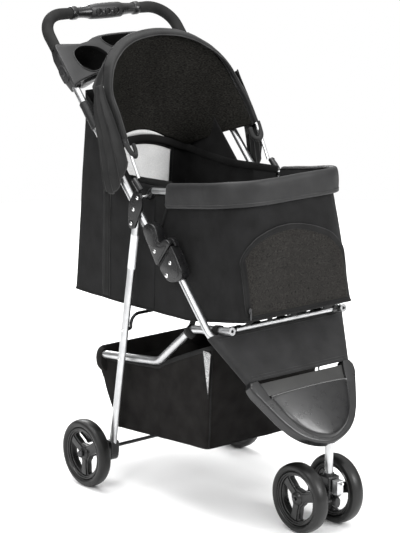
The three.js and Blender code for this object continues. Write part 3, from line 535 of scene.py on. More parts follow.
# ------------------------------------------------------------------ cup tray
def tray():
    ux, us, un = (1, 0, 0), (0, UD[0], UD[1]), V((0, UN[0], UN[1]))

    def at(w):
        return (0, UP0[0] + w * UN[0], UP0[1] + w * UN[1])
    half = [(0, 128), (35, 127.5), (62, 125), (80, 121), (100, 112), (122, 108), (148, 110), (170, 112), (186, 110), (188.5, 104), (188.5, 60), (188.5, 10), (186, 3), (172, 9), (150, 17), (125, 24), (100, 30), (60, 33), (0, 34)]
    ol = [(a, b) for a, b in half] + [(-a, b) for a, b in half[-2:0:-1]]
    cup = [(149, 86), (132, 98), (112, 101), (83, 95), (66, 80), (62, 67), (72, 52), (92, 40), (120, 32), (142, 42), (152, 65)]
    cupL = [(p.x, p.y) for p in spl([(a, b, 0) for a, b in cup], 5, True)]
    cupR = [(-a, b) for a, b in cupL]
    mid = [(56, 121), (30, 123), (0, 124), (-30, 123), (-56, 121), (-60, 112), (-50, 98), (-35, 88), (-15, 82), (0, 81), (15, 82), (35, 88), (50, 98), (60, 112)]
    midS = [(p.x, p.y) for p in spl([(a, b, 0) for a, b in mid], 4, True)]
    deck = plate("tray_deck", ol, at(6), ux, us, 9.2, "tray", 2.2, [cupL, cupR, midS])
    parts = [deck]
    for nm, loop, dep in (("cup_r", cupR, 50), ("cup_l", cupL, 50), ("mid", midS, 22)):
        c = V((sum(p[0] for p in loop) / len(loop), sum(p[1] for p in loop) / len(loop)))
        prof = [(1.0, 15.0), (1.015, 12), (.99, 0), (.93, -dep * .6), (.86, -dep + 4), (.78, -dep), (.3, -dep), (0.02, -dep)]
        prof_o = [(1.09, 6.5), (1.05, -dep * .5), (.95, -dep - 1), (.84, -dep - 4), (.3, -dep - 4), (.02, -dep - 4)]
        for tag, pr, mt in (("in", prof, "rim"), ("out", prof_o, "tray")):
            rws = []
            for sc_, w in pr:
                o_ = V(at(w))
                rws.append([o_ + V((c.x + (p[0] - c.x) * sc_, UD[0] * (c.y + (p[1] - c.y) * sc_), UD[1] * (c.y + (p[1] - c.y) * sc_))) for p in loop])
            parts.append(grid(f"tray_{nm}_{tag}", rws, mt, closed=True))
    # raised lips round the wells and the ridge between them
    for nm, loop in (("cup_r", cupR), ("cup_l", cupL), ("mid", midS)):
        o_ = V(at(15.0))
        parts.append(tube(f"tray_{nm}_lip", [o_ + V((p[0], UD[0] * p[1], UD[1] * p[1])) for p in loop], 1.6, "tray", 8, closed=True))
    for sg in (-1, 1):
        s_ol = rsmooth([(162, 1), (190, 1), (190, 114), (162, 114)], 1)
        sl = plate(f"tray_sleeve_{sg > 0}", [(a * sg, b) for a, b in s_ol], at(-13.5), ux, us, 27.5, "tray", 4.5)
        parts.append(sl)
        o_ = V(at(1))
        oval = spl([(189.6 * sg, 24, -9), (189.6 * sg, 32, -12), (189.6 * sg, 52, -12), (189.6 * sg, 62, -6), (189.6 * sg, 62, 6), (189.6 * sg, 52, 10), (189.6 * sg, 32, 10), (189.6 * sg, 24, 4)], 4, True)
        ring = [V((p.x, UP0[0] + p.y * UD[0] + p.z * UN[0], UP0[1] + p.y * UD[1] + p.z * UN[1])) for p in oval]
        parts.append(tube(f"tray_boss_{sg > 0}", ring, 1.1, "tray", 8, closed=True))
        c = up_(0, 43, -1)
        parts.append(rivet(f"tray_screw_{sg > 0}", (c.y, c.z), 189.8 * sg, sg, 4.5, 1.6, "dark"))
    # front skirt under the deck's front edge
    row0 = [(-150, 17), (-125, 23), (-100, 29), (-60, 33), (0, 34), (60, 33), (100, 29), (125, 23), (150, 17)]
    r0 = [V(at(8)) + V((a, UD[0] * b, UD[1] * b)) for a, b in row0]
    r1 = [V(at(-12)) + V((a, UD[0] * (b - 3), UD[1] * (b - 3))) for a, b in row0]
    parts.append(grid("tray_skirt", [spl(r0, 3), spl(r1, 3)], "tray", 2.5))
    for i, p in enumerate(parts):
        done(p, "handle_frame", "cup_tray" if i == 0 else ())


tray()

# ------------------------------------------------------------------ front frame
LD = (-.6645, -.7473)
start = V((-XF, -374 + .6645 * 150, 415 + .7473 * 150))
fl = rounded([start, V((-XF, -374, 415)), V((-106, -487, 273))], [60], 3)
for side, sg in (("right", 1), ("left", -1)):
    done(tube("front_tube_smooth_" + side, [V((p.x * sg, p.y, p.z)) for p in fl], 8, "silver", 28), "front_frame", "front_tube_" + side)


def both_sides(make, body, node=None):
    """make() gives the right-hand pieces; each gets a mirrored partner."""
    for i, o in enumerate(make()):
        base = o.name
        l = mirror(o, base + "_left")
        o.name = base + "_right"
        for q, side in ((o, "right"), (l, "left")):
            bd = body if isinstance(body, str) else body[side]
            done(q, bd, f"{node}_{side}" if (node and i == 0) else ())


def casting_upper():
    ol = [(-166, 603), (-176, 613), (-190, 620), (-204, 617), (-214, 610), (-219, 596), (-223, 583), (-228, 583), (-236, 590), (-246, 594), (-256, 591), (-261, 585.5), (-252, 573), (-240, 558), (-229, 544), (-219.5, 532), (-212, 536), (-199, 556)]
    sm = rsmooth(ol, 1)
    core = plate_x("elbow_top", sm, -168.2, -189.6, "plastic", 3.0)
    inn = [(-176, 603), (-188, 611), (-203, 607), (-210, 597), (-217, 577), (-228, 574), (-240, 581), (-251, 581), (-240, 565), (-228, 549), (-219, 540), (-212, 545), (-200, 563)]
    cheek = plate_x("elbow_top_cheek", rsmooth(inn, 2), -188.5, -190.8, "plastic", .9)
    pin = rivet("elbow_top_rivet", (-212, 562.6), -190.8, -1, 4.4, 1.8)
    tongue = plate_x("elbow_tongue", [(-221, 550), (-240, 574), (-257, 541), (-263.5, 521), (-262, 511.5), (-256.3, 507.2), (-247.8, 507.2), (-241.8, 512.6), (-226, 528)], -171.9, -181.1, "plastic", .8)
    return [core, cheek, pin, tongue]


def casting_lower():
    # two cheeks with the tongue of the upper casting between them, solid towards the front
    ol = [(-262.5, 584.5), (-270, 577), (-280, 566), (-291, 549), (-301, 535), (-300, 522), (-292, 514), (-278, 508), (-261, 505), (-250, 508), (-240, 516), (-228, 526), (-227, 537), (-240, 554), (-252, 569)]
    front_ = [(-262.5, 584.5), (-270, 577), (-280, 566), (-291, 549), (-301, 535), (-300, 522), (-292, 514), (-278, 508), (-268, 506), (-266.5, 521), (-263, 541), (-261.5, 570)]
    core = plate_x("elbow_base", rsmooth(ol, 1), -182.3, -189.6, "plastic", 3.0)
    solid_ = plate_x("elbow_base_front", rsmooth(front_, 1), -168.2, -189.4, "plastic", 2.8)
    inner_ = plate_x("elbow_base_inner", rsmooth(ol, 1), -168.2, -170.7, "plastic", .8)
    inn = [(-262, 573), (-272, 563), (-283, 546), (-291, 533), (-290, 523), (-280, 517), (-263, 514), (-250, 516), (-238, 528), (-236, 538), (-248, 556)]
    cheek = plate_x("elbow_base_cheek", rsmooth(inn, 2), -188.5, -190.8, "plastic", .9)
    edge = spl([(-190.2, -259, 575), (-190.2, -249, 561), (-190.2, -237, 546), (-190.2, -226, 533)], 4)
    line = tube("elbow_gap", edge, .9, "rim", 8)
    return [core, cheek, rivet("elbow_base_rivet", (-264, 547), -190.8, -1, 4.4, 1.8), line, solid_, inner_]


both_sides(casting_upper, "handle_frame", "elbow_upper")
both_sides(casting_lower, "front_frame", "elbow_lower")
both_sides(lambda: [rivet("elbow_pivot", (-252, 518), -190.8, -1, 5, 2)], "front_frame", "elbow_pin")
both_sides(lambda: [plate_x("fold_catch", rsmooth([(-235, 586.5), (-246, 596.6), (-262, 597), (-272, 585), (-270, 581.5), (-261, 589), (-247, 588), (-238, 584)], 1), -181.5, -171.5, "plastic", .8)],
           {"right": "latch_right", "left": "latch_left"}, "fold_latch")


def hinge():
    ol = [(-154, 684), (-166, 678), (-172, 664), (-171, 648), (-163, 632), (-152, 612), (-146, 601), (-137, 596.5), (-128, 601), (-125, 613), (-125.5, 635), (-127, 652), (-137, 668), (-146, 680)]
    a = plate_x("hinge_side", rsmooth(ol, 1), -186.3, -193, "plastic", 1.6)
    out = [a, plate_x("hinge_boss_a", [(LX + 7.5 * math.cos(t), LZ + 7.5 * math.sin(t)) for LX, LZ in [(-135, 609)] for t in np.linspace(0, 2 * math.pi, 25)[:-1]], -192.6, -194.6, "plastic", .8)]
    for k, c in enumerate([(-157, 667.5), (-143.5, 641), (-137, 610)]):
        out.append(rivet(f"hinge_rivet_{k}", c, -194.4 if k == 2 else -193, -1, 4.3, 1.8))
    return out


both_sides(hinge, "handle_frame", "hinge_plate")
for side in ("right", "left"):
    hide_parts("leg_pin_" + side)
both_sides(lambda: [tube("hood_arm", [V((-189.5, -143, 704)), V((-189.5, -155, 694)), V((-189.5, -166, 684))], [6.3, 7, 6.6], "plastic", 20),
                    rivet("hood_arm_pin", (-146, 703), -195, -1, 4, 1.2, "plastic")], "handle_frame", "canopy_arm")

# ------------------------------------------------------------------ rear legs, axle, brake
ld = V((0, 89.4, -511.2)).normalized()
P0 = V((-179, -135, 609))
side_n = V((0, -ld.z, ld.y))
both_sides(lambda: [tube("leg", [P0 - ld * 8, P0 + ld * 545], 1, "silver", 28, oval=(9.6, 6.8), up=tuple(side_n)),
                    tube("leg_band", [P0 + ld * 27, P0 + ld * 28, P0 + ld * 102, P0 + ld * 103], 1, "sleeve", 28, oval=(9.95, 7.15), up=tuple(side_n)),
                    rivet("leg_rivet_a", (P0.y + ld.y * 245, P0.z + ld.z * 245), -185.8, -1, 3.6, 1.6)], "rear_legs", "rear_leg")
both_sides(lambda: [rivet("leg_rivet_b", (-79, 300), -185.8, -1, 3.8, 1.8)], "rear_legs", "side_pin")


def foot():
    ol = [(-56.5, 104), (-52, 108), (-36, 108), (-31, 103), (-22, 92), (0, 91), (11, 86), (16, 75), (11, 64), (0, 59), (-20, 60), (-36, 61), (-50, 64), (-55.5, 76)]
    a = plate_x("foot_core", rsmooth(ol, 1), -168.2, -190.2, "plastic", 3)
    b = tube("foot_boss", [V((-189, 0, 75)), V((-201, 0, 75))], [13, 12], "plastic", 28)
    return [a, b]


both_sides(foot, "rear_legs", "foot_bracket")
both_sides(lambda: [plate_x("brake_lever", rsmooth([(12, 98), (20, 101), (51, 113), (55, 108), (26, 94), (20, 87), (17, 92), (11.5, 93)], 1), -200, -170, "plastic", 1.3)],
           {"right": "brake_right", "left": "brake_left"}, "brake_pedal")
b0 = P0 + ld * 245
br = rounded([V((-171.8, b0.y, b0.z)), V((-163, b0.y, b0.z)), V((-161, b0.y, b0.z + 31)), V((161, b0.y, b0.z + 31)), V((163, b0.y, b0.z)), V((171.8, b0.y, b0.z))], [5, 22, 22, 5], 10)
done(tube("arch_rod", br, 3.6, "dark", 16), "rear_legs", "arch_brace")
ax = [(-237.4, 3), (-237, 7), (-235.5, 8), (-233, 8), (-232.9, 4), (232.9, 4), (233, 8), (235.5, 8), (237, 7), (237.4, 3)]
done(tube("axle_rod", [V((x, 0, 75)) for x, r in ax], [r for x, r in ax], "dark", 24), "rear_legs", "rear_axle")

# ------------------------------------------------------------------ wheels
def wheel(tag, cx, cy, R, w, angles, outward, body, nt, nr):
    h = w / 2
    k = R / 75
    tp = [(R - 16.5 * k, -h * .70), (R - 15 * k, -h * .86), (R - 12 * k, -h * .97), (R - 8 * k, -h), (R - 4 * k, -h * .9), (R - 1.4 * k, -h * .66), (R - .3 * k, -h * .35), (R, 0)]
    tp = tp + [(r, -o) for r, o in reversed(tp[:-1])]
    done(lathe_x(f"{tag}_tread", (cx, cy, R), tp, "tyre", 72), body, nt)
    rr = R - 16.8 * k
    rp = [(rr, -h * .72), (rr - 2.2, -h * .84), (rr - 4, -h * .84), (rr - 5, -h * .66), (rr - 7.5, -h * .62), (rr - 7.5, h * .62), (rr - 5, h * .66), (rr - 4, h * .84), (rr - 2.2, h * .84), (rr, h * .72)]
    rim = lathe_x(f"{tag}_rim_ring", (cx, cy, R), rp, "rim", 72)
    done(rim, body, nr)
    ro = rr - 6.5
    outline = [(ro * math.cos(t), ro * math.sin(t)) for t in np.linspace(0, 2 * math.pi, 73)[:-1]]
    holes = []
    for q in range(3):
        a0 = math.radians(angles + q * 120)
        pts = []
        e = 11.5
        # between spoke q and spoke q+1
        for t in np.linspace(math.asin(e / (ro - 4)), math.radians(120) - math.asin(e / (ro - 4)), 14):
            pts.append(((ro - 4) * math.cos(a0 + t), (ro - 4) * math.sin(a0 + t)))
        for rad, off in ((30, 0), (21, 0)):
            t = math.radians(120) - math.asin(min(.95, (e - (0 if rad > 25 else 1.5)) / rad))
            pts.append((rad * math.cos(a0 + t), rad * math.sin(a0 + t)))
        pts.append((19.5 * math.cos(a0 + math.radians(60)), 19.5 * math.sin(a0 + math.radians(60))))
        for rad in (21, 30):
            t = math.asin(min(.95, (e - (0 if rad > 25 else 1.5)) / rad))
            pts.append((rad * math.cos(a0 + t), rad * math.sin(a0 + t)))
        holes.append(rsmooth(pts, 2))
    # seen from outside on the right-hand side, +u is towards the front (-Y)
    web = plate(f"{tag}_web", [(-a, b) for a, b in outline], (cx - h * .42, cy, R), (0, 1, 0), (0, 0, 1), h * .84, "rim", 1.6, [[(-a, b) for a, b in hl] for hl in holes])
    done(web, body)
    for q in range(3):
        a0 = math.radians(angles + q * 120)
        sp = []
        for rad, wd in ((10, 7.5), (30, 6.4), (ro - 3, 8.5)):
            sp.append((rad, wd))
        olp = [(r_ * math.cos(a0) - w_ * math.sin(a0), r_ * math.sin(a0) + w_ * math.cos(a0)) for r_, w_ in sp] + [(r_ * math.cos(a0) + w_ * math.sin(a0), r_ * math.sin(a0) - w_ * math.cos(a0)) for r_, w_ in reversed(sp)]
        for sd in (-1, 1):
            done(plate(f"{tag}_rib_{q}_{int(sd > 0)}", [(-a, b) for a, b in olp], (cx + sd * h * .42 - (2.2 if sd < 0 else -.0), cy, R), (0, 1, 0), (0, 0, 1), 2.2, "rim", .8), body)
    for sd in (-1, 1):
        hub = [(0.5, sd * h * .84), (7, sd * h * .84), (8.5, sd * h * .8), (12, sd * h * .7), (14.5, sd * h * .5), (15, sd * h * .2), (.5, sd * h * .2)]
        done(lathe_x(f"{tag}_hub_{int(sd > 0)}", (cx, cy, R), hub, "rim", 36), body)


for side, sg in (("right", -1), ("left", 1)):
    wheel("rear_" + side, sg * 217.2, 0, 75, 29.8, 30, sg, "rear_wheel_" + side, "rear_tyre_" + side, "rear_rim_" + side)
    wheel("front_" + side, sg * 49.2, -516, 74.2, 32.5, 18, sg, "front_wheel_" + side, "front_tyre_" + side, "front_rim_" + side)

# ------------------------------------------------------------------ caster and fender
done(tube("stem", [V((0, -549, 123.4)), V((0, -549, 192))], 8.6, "silver", 28), "front_frame", "caster_stem")
cb = plate_x("caster_core", rsmooth([(-566, 120), (-564, 122.8), (-526, 122.8), (-508, 104), (-499, 84), (-501, 66), (-514, 58.5), (-534, 60), (-566, 66)], 1), -15, 15, "plastic", 3)
done(cb, "caster", "caster_bracket")
done(tube("caster_boss", [V((-32, -516, 74.2)), V((32, -516, 74.2))], 11, "plastic", 28), "caster")
done(tube("caster_ring", [V((0, -549, 121.5)), V((0, -549, 127))], [12.5, 11], "plastic", 28), "caster")
for sg in (-1, 1):
    done(rivet(f"caster_rivet_{sg > 0}", (-540, 112), 15 * sg, sg, 3.4, 1.6), "caster")
done(tube("front_axle_rod", [V((-67.8, -516, 74.2)), V((67.8, -516, 74.2))], 4, "dark", 20), "caster", "front_axle")
lk = plate("lock_block", [(-8.5, 88), (8.5, 88), (8.5, 117), (-8.5, 117)], (0, -567.8, 0), (1, 0, 0), (0, 0, 1), 17, "silver", 1.6)
done(lk, "swivel_lock", "swivel_lock")
done(tube("lock_pin", [V((0, -584, 112.5)), V((0, -589, 112.5)), V((0, -592, 112.5))], [3.4, 3.4, 2.6], "steel", 16), "swivel_lock")
done(plate("lock_foot", rsmooth([(-7, 58), (7, 58), (8, 79), (-8, 79)], 1), (0, -566, 0), (1, 0, 0), (0, 0, 1), 12, "plastic", 2), "caster")

PU, PV, PN = V((1, 0, 0)), V((0, .6185, .7858)), V((0, -.7858, .6185))
PO = V((0, -452.7, 317.5))


def pl(x, z, h):
    v = (z - 317.5) / .7858
    return PO + PU * x + PV * v + PN * h


def fender():
    half = [(143, 311), (142.5, 305), (140.5, 297.5), (135.5, 289.5), (129, 279.5), (121, 267), (104.5, 242.5), (94.5, 231), (84, 220), (67, 208), (49, 199.5), (30, 193.5), (12, 190), (0, 189.5)]
    hs = spl([(a, b, 0) for a, b in half], 4)
    vv = lambda z: (z - 317.5) / .7858
    outer = [(p.x, vv(p.y)) for p in hs] + [(-p.x, vv(p.y)) for p in reversed(hs[:-1])]
    top = [(-137, vv(319)), (-118, vv(321)), (-112, vv(308)), (-105, vv(287)), (105, vv(287)), (112, vv(308)), (118, vv(321)), (137, vv(319))]
    body = plate("fender_shell", outer + top, PO + PN * -13, PU, PV, 25, "gloss", 5.5, res=5)
    # scoop: heights over the outline by distance from its edge, standing proud below the lip
    rows = []
    c = V((0, vv(287)))
    rim = [V((p.x * .84, vv(p.y) + 9)) for p in hs if p.y < 278]
    edge = [V((105, vv(287)))] + rim
    edge = edge + [V((-p.x, p.y)) for p in reversed(edge[:-1])]
    prof = [(1.0, 10.5), (.992, 12.5), (.978, 15.5), (.955, 18), (.92, 19.7), (.8, 21.4), (.6, 23), (.4, 24), (.2, 24.6), (0.0, 24.8)]
    for s_, h in prof:
        row = []
        for e in edge:
            q = c + (e - c) * s_
            side_ = abs(q.x) / 105
            row.append(PO + PU * q.x + PV * q.y + PN * max(10.5, h - 5 * side_ ** 2 * (s_ < .97)))
        rows.append(row)
    bowl = grid("fender_scoop", rows, "gloss", subd=1, sharp=70)
    # lip along the scoop's top edge, with a wall down to the recess
    lip = []
    for x in np.linspace(-104, 104, 41):
        s_ = abs(x) / 105
        hh = np.interp(s_, [p[0] for p in reversed(prof)], [p[1] for p in reversed(prof)])
        lip.append((x, max(10.5, hh - 5 * s_ ** 2 * (s_ < .97))))
    l0 = [pl(x, 287, h) for x, h in lip]
    l1 = [pl(x, 288.6, h - .6) for x, h in lip]
    l2 = [pl(x, 289, -8) for x, h in lip]
    wall = grid("fender_lip", [l0, l1, l2], "gloss", 1.2)
    # the lip edge tube carries a painted highlight: lighter plastic standing in for the bright edge line
    edge_t = tube("fender_lip_edge", [p + V((0, 0, .4)) for p in l0], 1.3, "painted_highlight_edge", 10)
    rec = plate("fender_recess", [(-112, vv(290)), (112, vv(290)), (117, vv(314)), (-117, vv(314))], PO + PN * 0.6, PU, PV, 5.5, "plate", 1)
    return [body, bowl, wall, edge_t, rec]


for i, o in enumerate(fender()):
    done(o, "front_frame", "front_fender" if i == 0 else ())

# ------------------------------------------------------------------ basket frame tubes
SX = 154
sroute = rounded([V((-SX, -421.6, 427.1)), V((-SX, -291, 405.5)), V((-SX, -179, 311.5)), V((-SX, 56, 280)), V((SX, 56, 280)), V((SX, -179, 311.5)), V((SX, -291, 405.5)), V((SX, -421.6, 427.1))], [45, 45, 42, 42, 45, 45], 5)
done(tube("under_tube", sroute, 8.5, "silver", 28, wall=5.0), "basket_frame", "basket_tube")
done(tube("front_bar", [V((-145, -404, 424)), V((145, -404, 424))], 6, "silver", 24), "basket_frame", "cross_bar")
for sg in (-1, 1):
    done(tube(f"bar_collar_{sg > 0}", [V((sg * 145, -404, 424)), V((sg * 134, -404, 424))], 8, "plastic", 24), "basket_frame")
    done(tube(f"pivot_spacer_{sg > 0}", [V((sg * 161, -367, 417.5)), V((sg * 167.3, -367, 417.5))], 5, "plastic", 20), "basket_frame")

# ------------------------------------------------------------------ rim bar
RIMP = (-158, 668)
rim_z = lambda y: lerp(RIMP[1] + 2, 711, (y - (RIMP[0] - 12)) / (-434 - RIMP[0] + 12))
rroute = rounded([V((-157, -163, 679.5)), V((-157, -434, 711)), V((157, -434, 711)), V((157, -163, 679.5))], [84, 84], 6)
done(tube("rim_rail", rroute, 6.8, "silver", 24), "rim_frame", "rim_bar")
both_sides(lambda: [tube("rim_end", [V((-157, -150, 664)), V((-157, -157, 670)), V((-157, -164, 679.6)), V((-157, -168, 680.3))], [7.8, 8.6, 8.2, 7.6], "plastic", 20),
                    tube("rim_end_pin", [V((-150, -158, 668)), V((-186, -158, 668))], 3.6, "steel", 16)], "rim_frame", "rim_joint")

# ------------------------------------------------------------------ rolled cover on the rim
def rim_cover():
    ra = [p for p in rroute if p.y < -360 or abs(p.x) < 150]
    n_side = 14
    zc = lambda y: rim_z(y)
    left = [V((-157, y, zc(y))) for y in np.linspace(-213, -345, n_side)]
    corner = [p for p in rounded([V((-157, -300, zc(-300))), V((-157, -436, 711)), V((157, -436, 711)), V((157, -300, zc(-300)))], [86, 86], 5)][1:-1]
    front_mid = []
    path = left + corner[:len(corner) // 2]
    path += [V((x, -436, 711)) for x in np.linspace(-62, 62, 12)]
    path += corner[len(corner) // 2:] + [V((157, p.y, p.z)) for p in reversed(left)]
    prof = []          # (side, height): a strap rolled over the rail, fuller at the top, with a hem at the bottom
    for s_, h in [(-7.2, -25.5), (-8.6, -22), (-8.9, -14), (-8.7, 0), (-8.6, 12), (-7.4, 20), (-4.2, 24.6), (0, 26), (4.2, 24.8), (7.4, 20.5), (8.8, 12), (9.3, 0), (9.6, -13), (9.4, -19.5), (9.9, -21.5), (9.8, -26), (8, -27.5), (2, -26.5), (-4, -26.2)]:
        prof.append((s_, h))
    T, _ = frames(path)
    rows = []
    m = len(path)
    for i, p in enumerate(path):
        side = T[i].cross(V((0, 0, 1))).normalized()
        if side.dot(V((p.x, p.y + 200, 0))) < 0:
            side = -side
        e = min(i, m - 1 - i)
        k = 1 if e > 1 else (.72, .93)[e]
        row = []
        for s_, h in prof:
            w = 1.1 * nz((p.x, p.y, h * 3), 34, 3) + .7 * nz((p.x, p.y, h * 2), 15, 5)
            w2 = 1.6 * nz((p.x, p.y, 0), 60, 9)
            row.append(p + side * ((s_ + (w if s_ > 0 else 0)) * k) + V((0, 0, h * (1 if e else .95) + (w2 if h > 10 else w2 * .5))))
        rows.append(row)
    c0 = [sum(rows[0], V((0, 0, 0))) / len(prof)] * len(prof)
    c1 = [sum(rows[-1], V((0, 0, 0))) / len(prof)] * len(prof)
    o = grid("rim_cover_roll", [c0] + rows + [c1], "fabric2", closed=True, subd=1, sharp=80)
    done(o, "rim_frame", "rim_cover")
    hem = [r[13] + (r[13] - r[9]).normalized() * 0 for r in rows]
    done(tube("rim_cover_hem", hem, 1.0, "seam", 8), "rim_frame")
    top = [r[5] for r in rows]
    done(tube("rim_cover_piping", top, 1.3, "binding", 8), "rim_frame")
    # soft band behind the cover, back to the hinge plates
    for sg in (-1, 1):
        rws = []
        for y in np.linspace(-136, -212, 9):
            z = lerp(676, 682, (-136 - y) / 76)
            rws.append([V((sg * 149.5, y, z - 22)), V((sg * 150.4, y, z - 8 + 2 * nz((0, y, 0), 20))), V((sg * 150, y, z + 6)), V((sg * 147, y, z + 11)), V((sg * 144.5, y, z + 4)), V((sg * 145, y, z - 20))])
        done(grid(f"rim_band_{sg > 0}", rws, "fabric", closed=True), "rim_frame")


rim_cover()


# ------------------------------------------------------------------ cabin
def cab_bottom(y):
    if y > -46:
        return lerp(414.7, 414, (y + 46) / 178)
    if y > -272:
        return lerp(414.7, 420.7, (-46 - y) / 226)
    return lerp(420.7, 453, ((-272 - y) / 185) ** 1.1)


def cab_top(y):
    if y < -214:
        return rim_z(y) - 19
    side = 688
    upz = 867.7 + (y - 75) * 1.0749 - 8
    t = max(side, min(upz, 862))
    return lerp(rim_z(-214) - 19, t, min(1, (y + 214) / 40)) if y < -174 else t


def ring_pts(hx, y0, y1, r0, r1, counts=(18, 6, 46, 8, 30)):
    """Plan outline, counted the same way at any size: rear centre, corner, side, corner, front, and back round."""
    nr, nc, ns, nf, nfr = counts
    half = []
    for i in range(nr):
        half.append((lerp(0, hx - r1, i / nr), y1))
    for i in range(nc):
        a = math.pi / 2 * (1 - i / nc)
        half.append((hx - r1 + r1 * math.cos(a), y1 - r1 + r1 * math.sin(a)))
    for i in range(ns):
        half.append((hx, lerp(y1 - r1, y0 + r0, i / ns)))
    for i in range(nf):
        a = -math.pi / 2 * (i / nf)
        half.append((hx - r0 + r0 * math.cos(a), y0 + r0 + r0 * math.sin(a)))
    for i in range(nfr // 2 + 1):
        half.append((lerp(hx - r0, 0, i / (nfr // 2)), y0))
    other = [(-x, y) for x, y in reversed(half[1:-1])]
    return half + other


def arch_front(x):
    """Height of the front window's arch at x."""
    xs = [-150, -146, -140, -112, -85, -54, -20, 8, 45, 84, 110, 128, 138, 142]
    zs = [520, 550, 572, 610, 622, 629, 631, 628, 619, 604, 583, 555, 510, 470]
    return float(np.interp(x, xs, zs))


def cabin():
    NB = 40
    bot = ring_pts(149, -455, 131, 16, 12)
    top = ring_pts(149.5, -434, 89, 80, 18)
    n = len(bot)
    rows = []
    nr, nc, ns = 18, 6, 46
    for k in range(NB + 1):
        h = k / NB
        row = []
        for j in range(n):
            bx, by = bot[j]
            tx, ty = top[j]
            hh = h
            x, y = lerp(bx, tx, hh), lerp(by, ty, hh)
            zb, zt = cab_bottom(by), cab_top(ty)
            jj = j if j <= n // 2 else n - j
            z = lerp(zb, zt, h)
            # rows on the rear wall run level with the window
            w = 1 if jj <= nr else max(0, 1 - (jj - nr) / 16)
            arch = 730 - 22 * (min(abs(x), 108) / 99) ** 2
            a, b = 14 / NB, 26 / NB
            zr = lerp(zb, 617, h / a) if h < a else (lerp(617, arch, (h - a) / (b - a)) if h < b else lerp(arch, zt, (h - b) / (1 - b)))
            z = lerp(z, zr, w * w * (3 - 2 * w))
            if w > .5:
                y = lerp(131, 89, min(1, max(0, (z - 414) / 382)))
                if jj > nr:
                    y = y - (131 - by) if jj > nr + nc else y - (bot[nr][1] - by)
            # slack between the supports, and creases that run down from the rim
            slack = math.sin(math.pi * min(1, h * 1.02))
            front = jj >= nr + nc + ns
            dx = dy = 0
            if jj > nr and not front:
                dx = (2.0 * slack + 2.6 * nz((0, y, z * .35), 52, 1) * slack + 1.0 * nz((0, y, z * .6), 22, 4) * slack) * (1 if x > 0 else -1)
                if y > 0:
                    dx *= .6
            if front:
                fx = abs(x) / 150
                dy = -(1.5 + 2.0 * nz((x, 0, z * .4), 60, 2)) * slack
                dx = (1 if x > 0 else -1) * 1.5 * slack * fx
            if jj <= nr:
                dy = 2.5 * slack * nz((x, 0, z), 70, 6)
            # the base flares and sags a little between its corners
            if k < 4:
                q = (1 - k / 4) ** 2
                z -= 2.2 * q * abs(nz((x, y, 0), 70, 8))
                if front:
                    dy -= 2.5 * q
                else:
                    dx += (1 if x > 0 else -1) * 1.2 * q * (1 if jj > nr else 0)
            row.append(V((x + dx, y + dy, z)))
        rows.append(row)
    hole = lambda i, j, c: abs(c.x) < 107 and c.y > 80 and 14 <= i < 26
    wall = grid("cabin_wall", rows, "fabric", 1.6, closed=True, drop=hole, sharp=50)
    done(wall, "basket_frame", "cabin_shell")
    hw = wall
    # the pale net in the rear wall
    idx = [j for j in range(n) if abs(rows[14][j].x) < 112 and rows[14][j].y > 80]
    idx.sort(key=lambda j: rows[14][j].x)
    netr = [[rows[i][j] for j in idx] for i in range(14, 27)]
    pieces_ = [wall, done(grid("cabin_rear_net", netr, "net_light", .8), "basket_frame")]
    ins = [j for j in idx if abs(rows[14][j].x) < 108]
    loop = [rows[14][j] for j in ins] + [rows[i][ins[-1]] for i in range(15, 26)] + [rows[26][j] for j in reversed(ins)] + [rows[i][ins[0]] for i in range(25, 14, -1)]
    for off, nm in ((-1.6, "in"), (1.8, "out")):
        pieces_.append(done(tube(f"cabin_rear_bind_{nm}", [p + V((0, off, 0)) for p in loop], 1, "binding", 8, oval=(1.1, 4.6), closed=True, up=(0, 1, 0)), "basket_frame"))
    # slit of light above the band
    cr = []
    for x in np.linspace(-74, 74, 31):
        t = x / 76
        lo_ = 748 - 24 * (x / 108) ** 2
        cr.append([V((x, 90.2, lo_)), V((x, 89.8, max(lo_ + .4, 735 + 24 * (1 - t * t))))])
    pieces_.append(done(grid("cabin_slit", cr, "net_light", .6), "basket_frame"))
    bp = [V((x, 90.4, 740 - 24 * (x / 108) ** 2)) for x in np.linspace(-112, 112, 25)]
    bp = [V((-145.5, -216, 697)), V((-145.5, -150, 694)), V((-145.5, -94, 691.5)), V((-145.5, -50, 691)), V((-145.8, 40, 697)), V((-144, 74, 702)), V((-132, 87, 708))] + bp + [V((132, 87, 708)), V((144, 74, 702)), V((145.8, 40, 697)), V((145.5, -50, 691)), V((145.5, -94, 691.5)), V((145.5, -150, 694)), V((145.5, -216, 697))]
    pieces_.append(done(tube("cabin_rear_band", spl(bp, 3), 1, "binding", 12, oval=(8.2, 1.6), up=(0, 0, 1)), "basket_frame"))
    # floor and base seam
    fl_ = []
    for y in np.linspace(130, -454, 40):
        zz = cab_bottom(y) + 1.2
        hw_ = 148 if y < 118 and y > -440 else 143
        fl_.append([V((x, y, zz - 3.5 * (1 - (x / 149) ** 2) * (1 if y > -400 else .4))) for x in np.linspace(-hw_, hw_, 21)])
    pieces_.append(done(grid("cabin_base", fl_, "fabric", 1.4), "basket_frame"))
    pieces_.append(done(tube("cabin_base_piping", [p + V((0, 0, .6)) for p in rows[0]], 2.2, "binding", 10, closed=True), "basket_frame"))

    WP = np.array([[tuple(p) for p in r] for r in rows]).reshape(-1, 3)
    FP = WP[WP[:, 1] < -372]

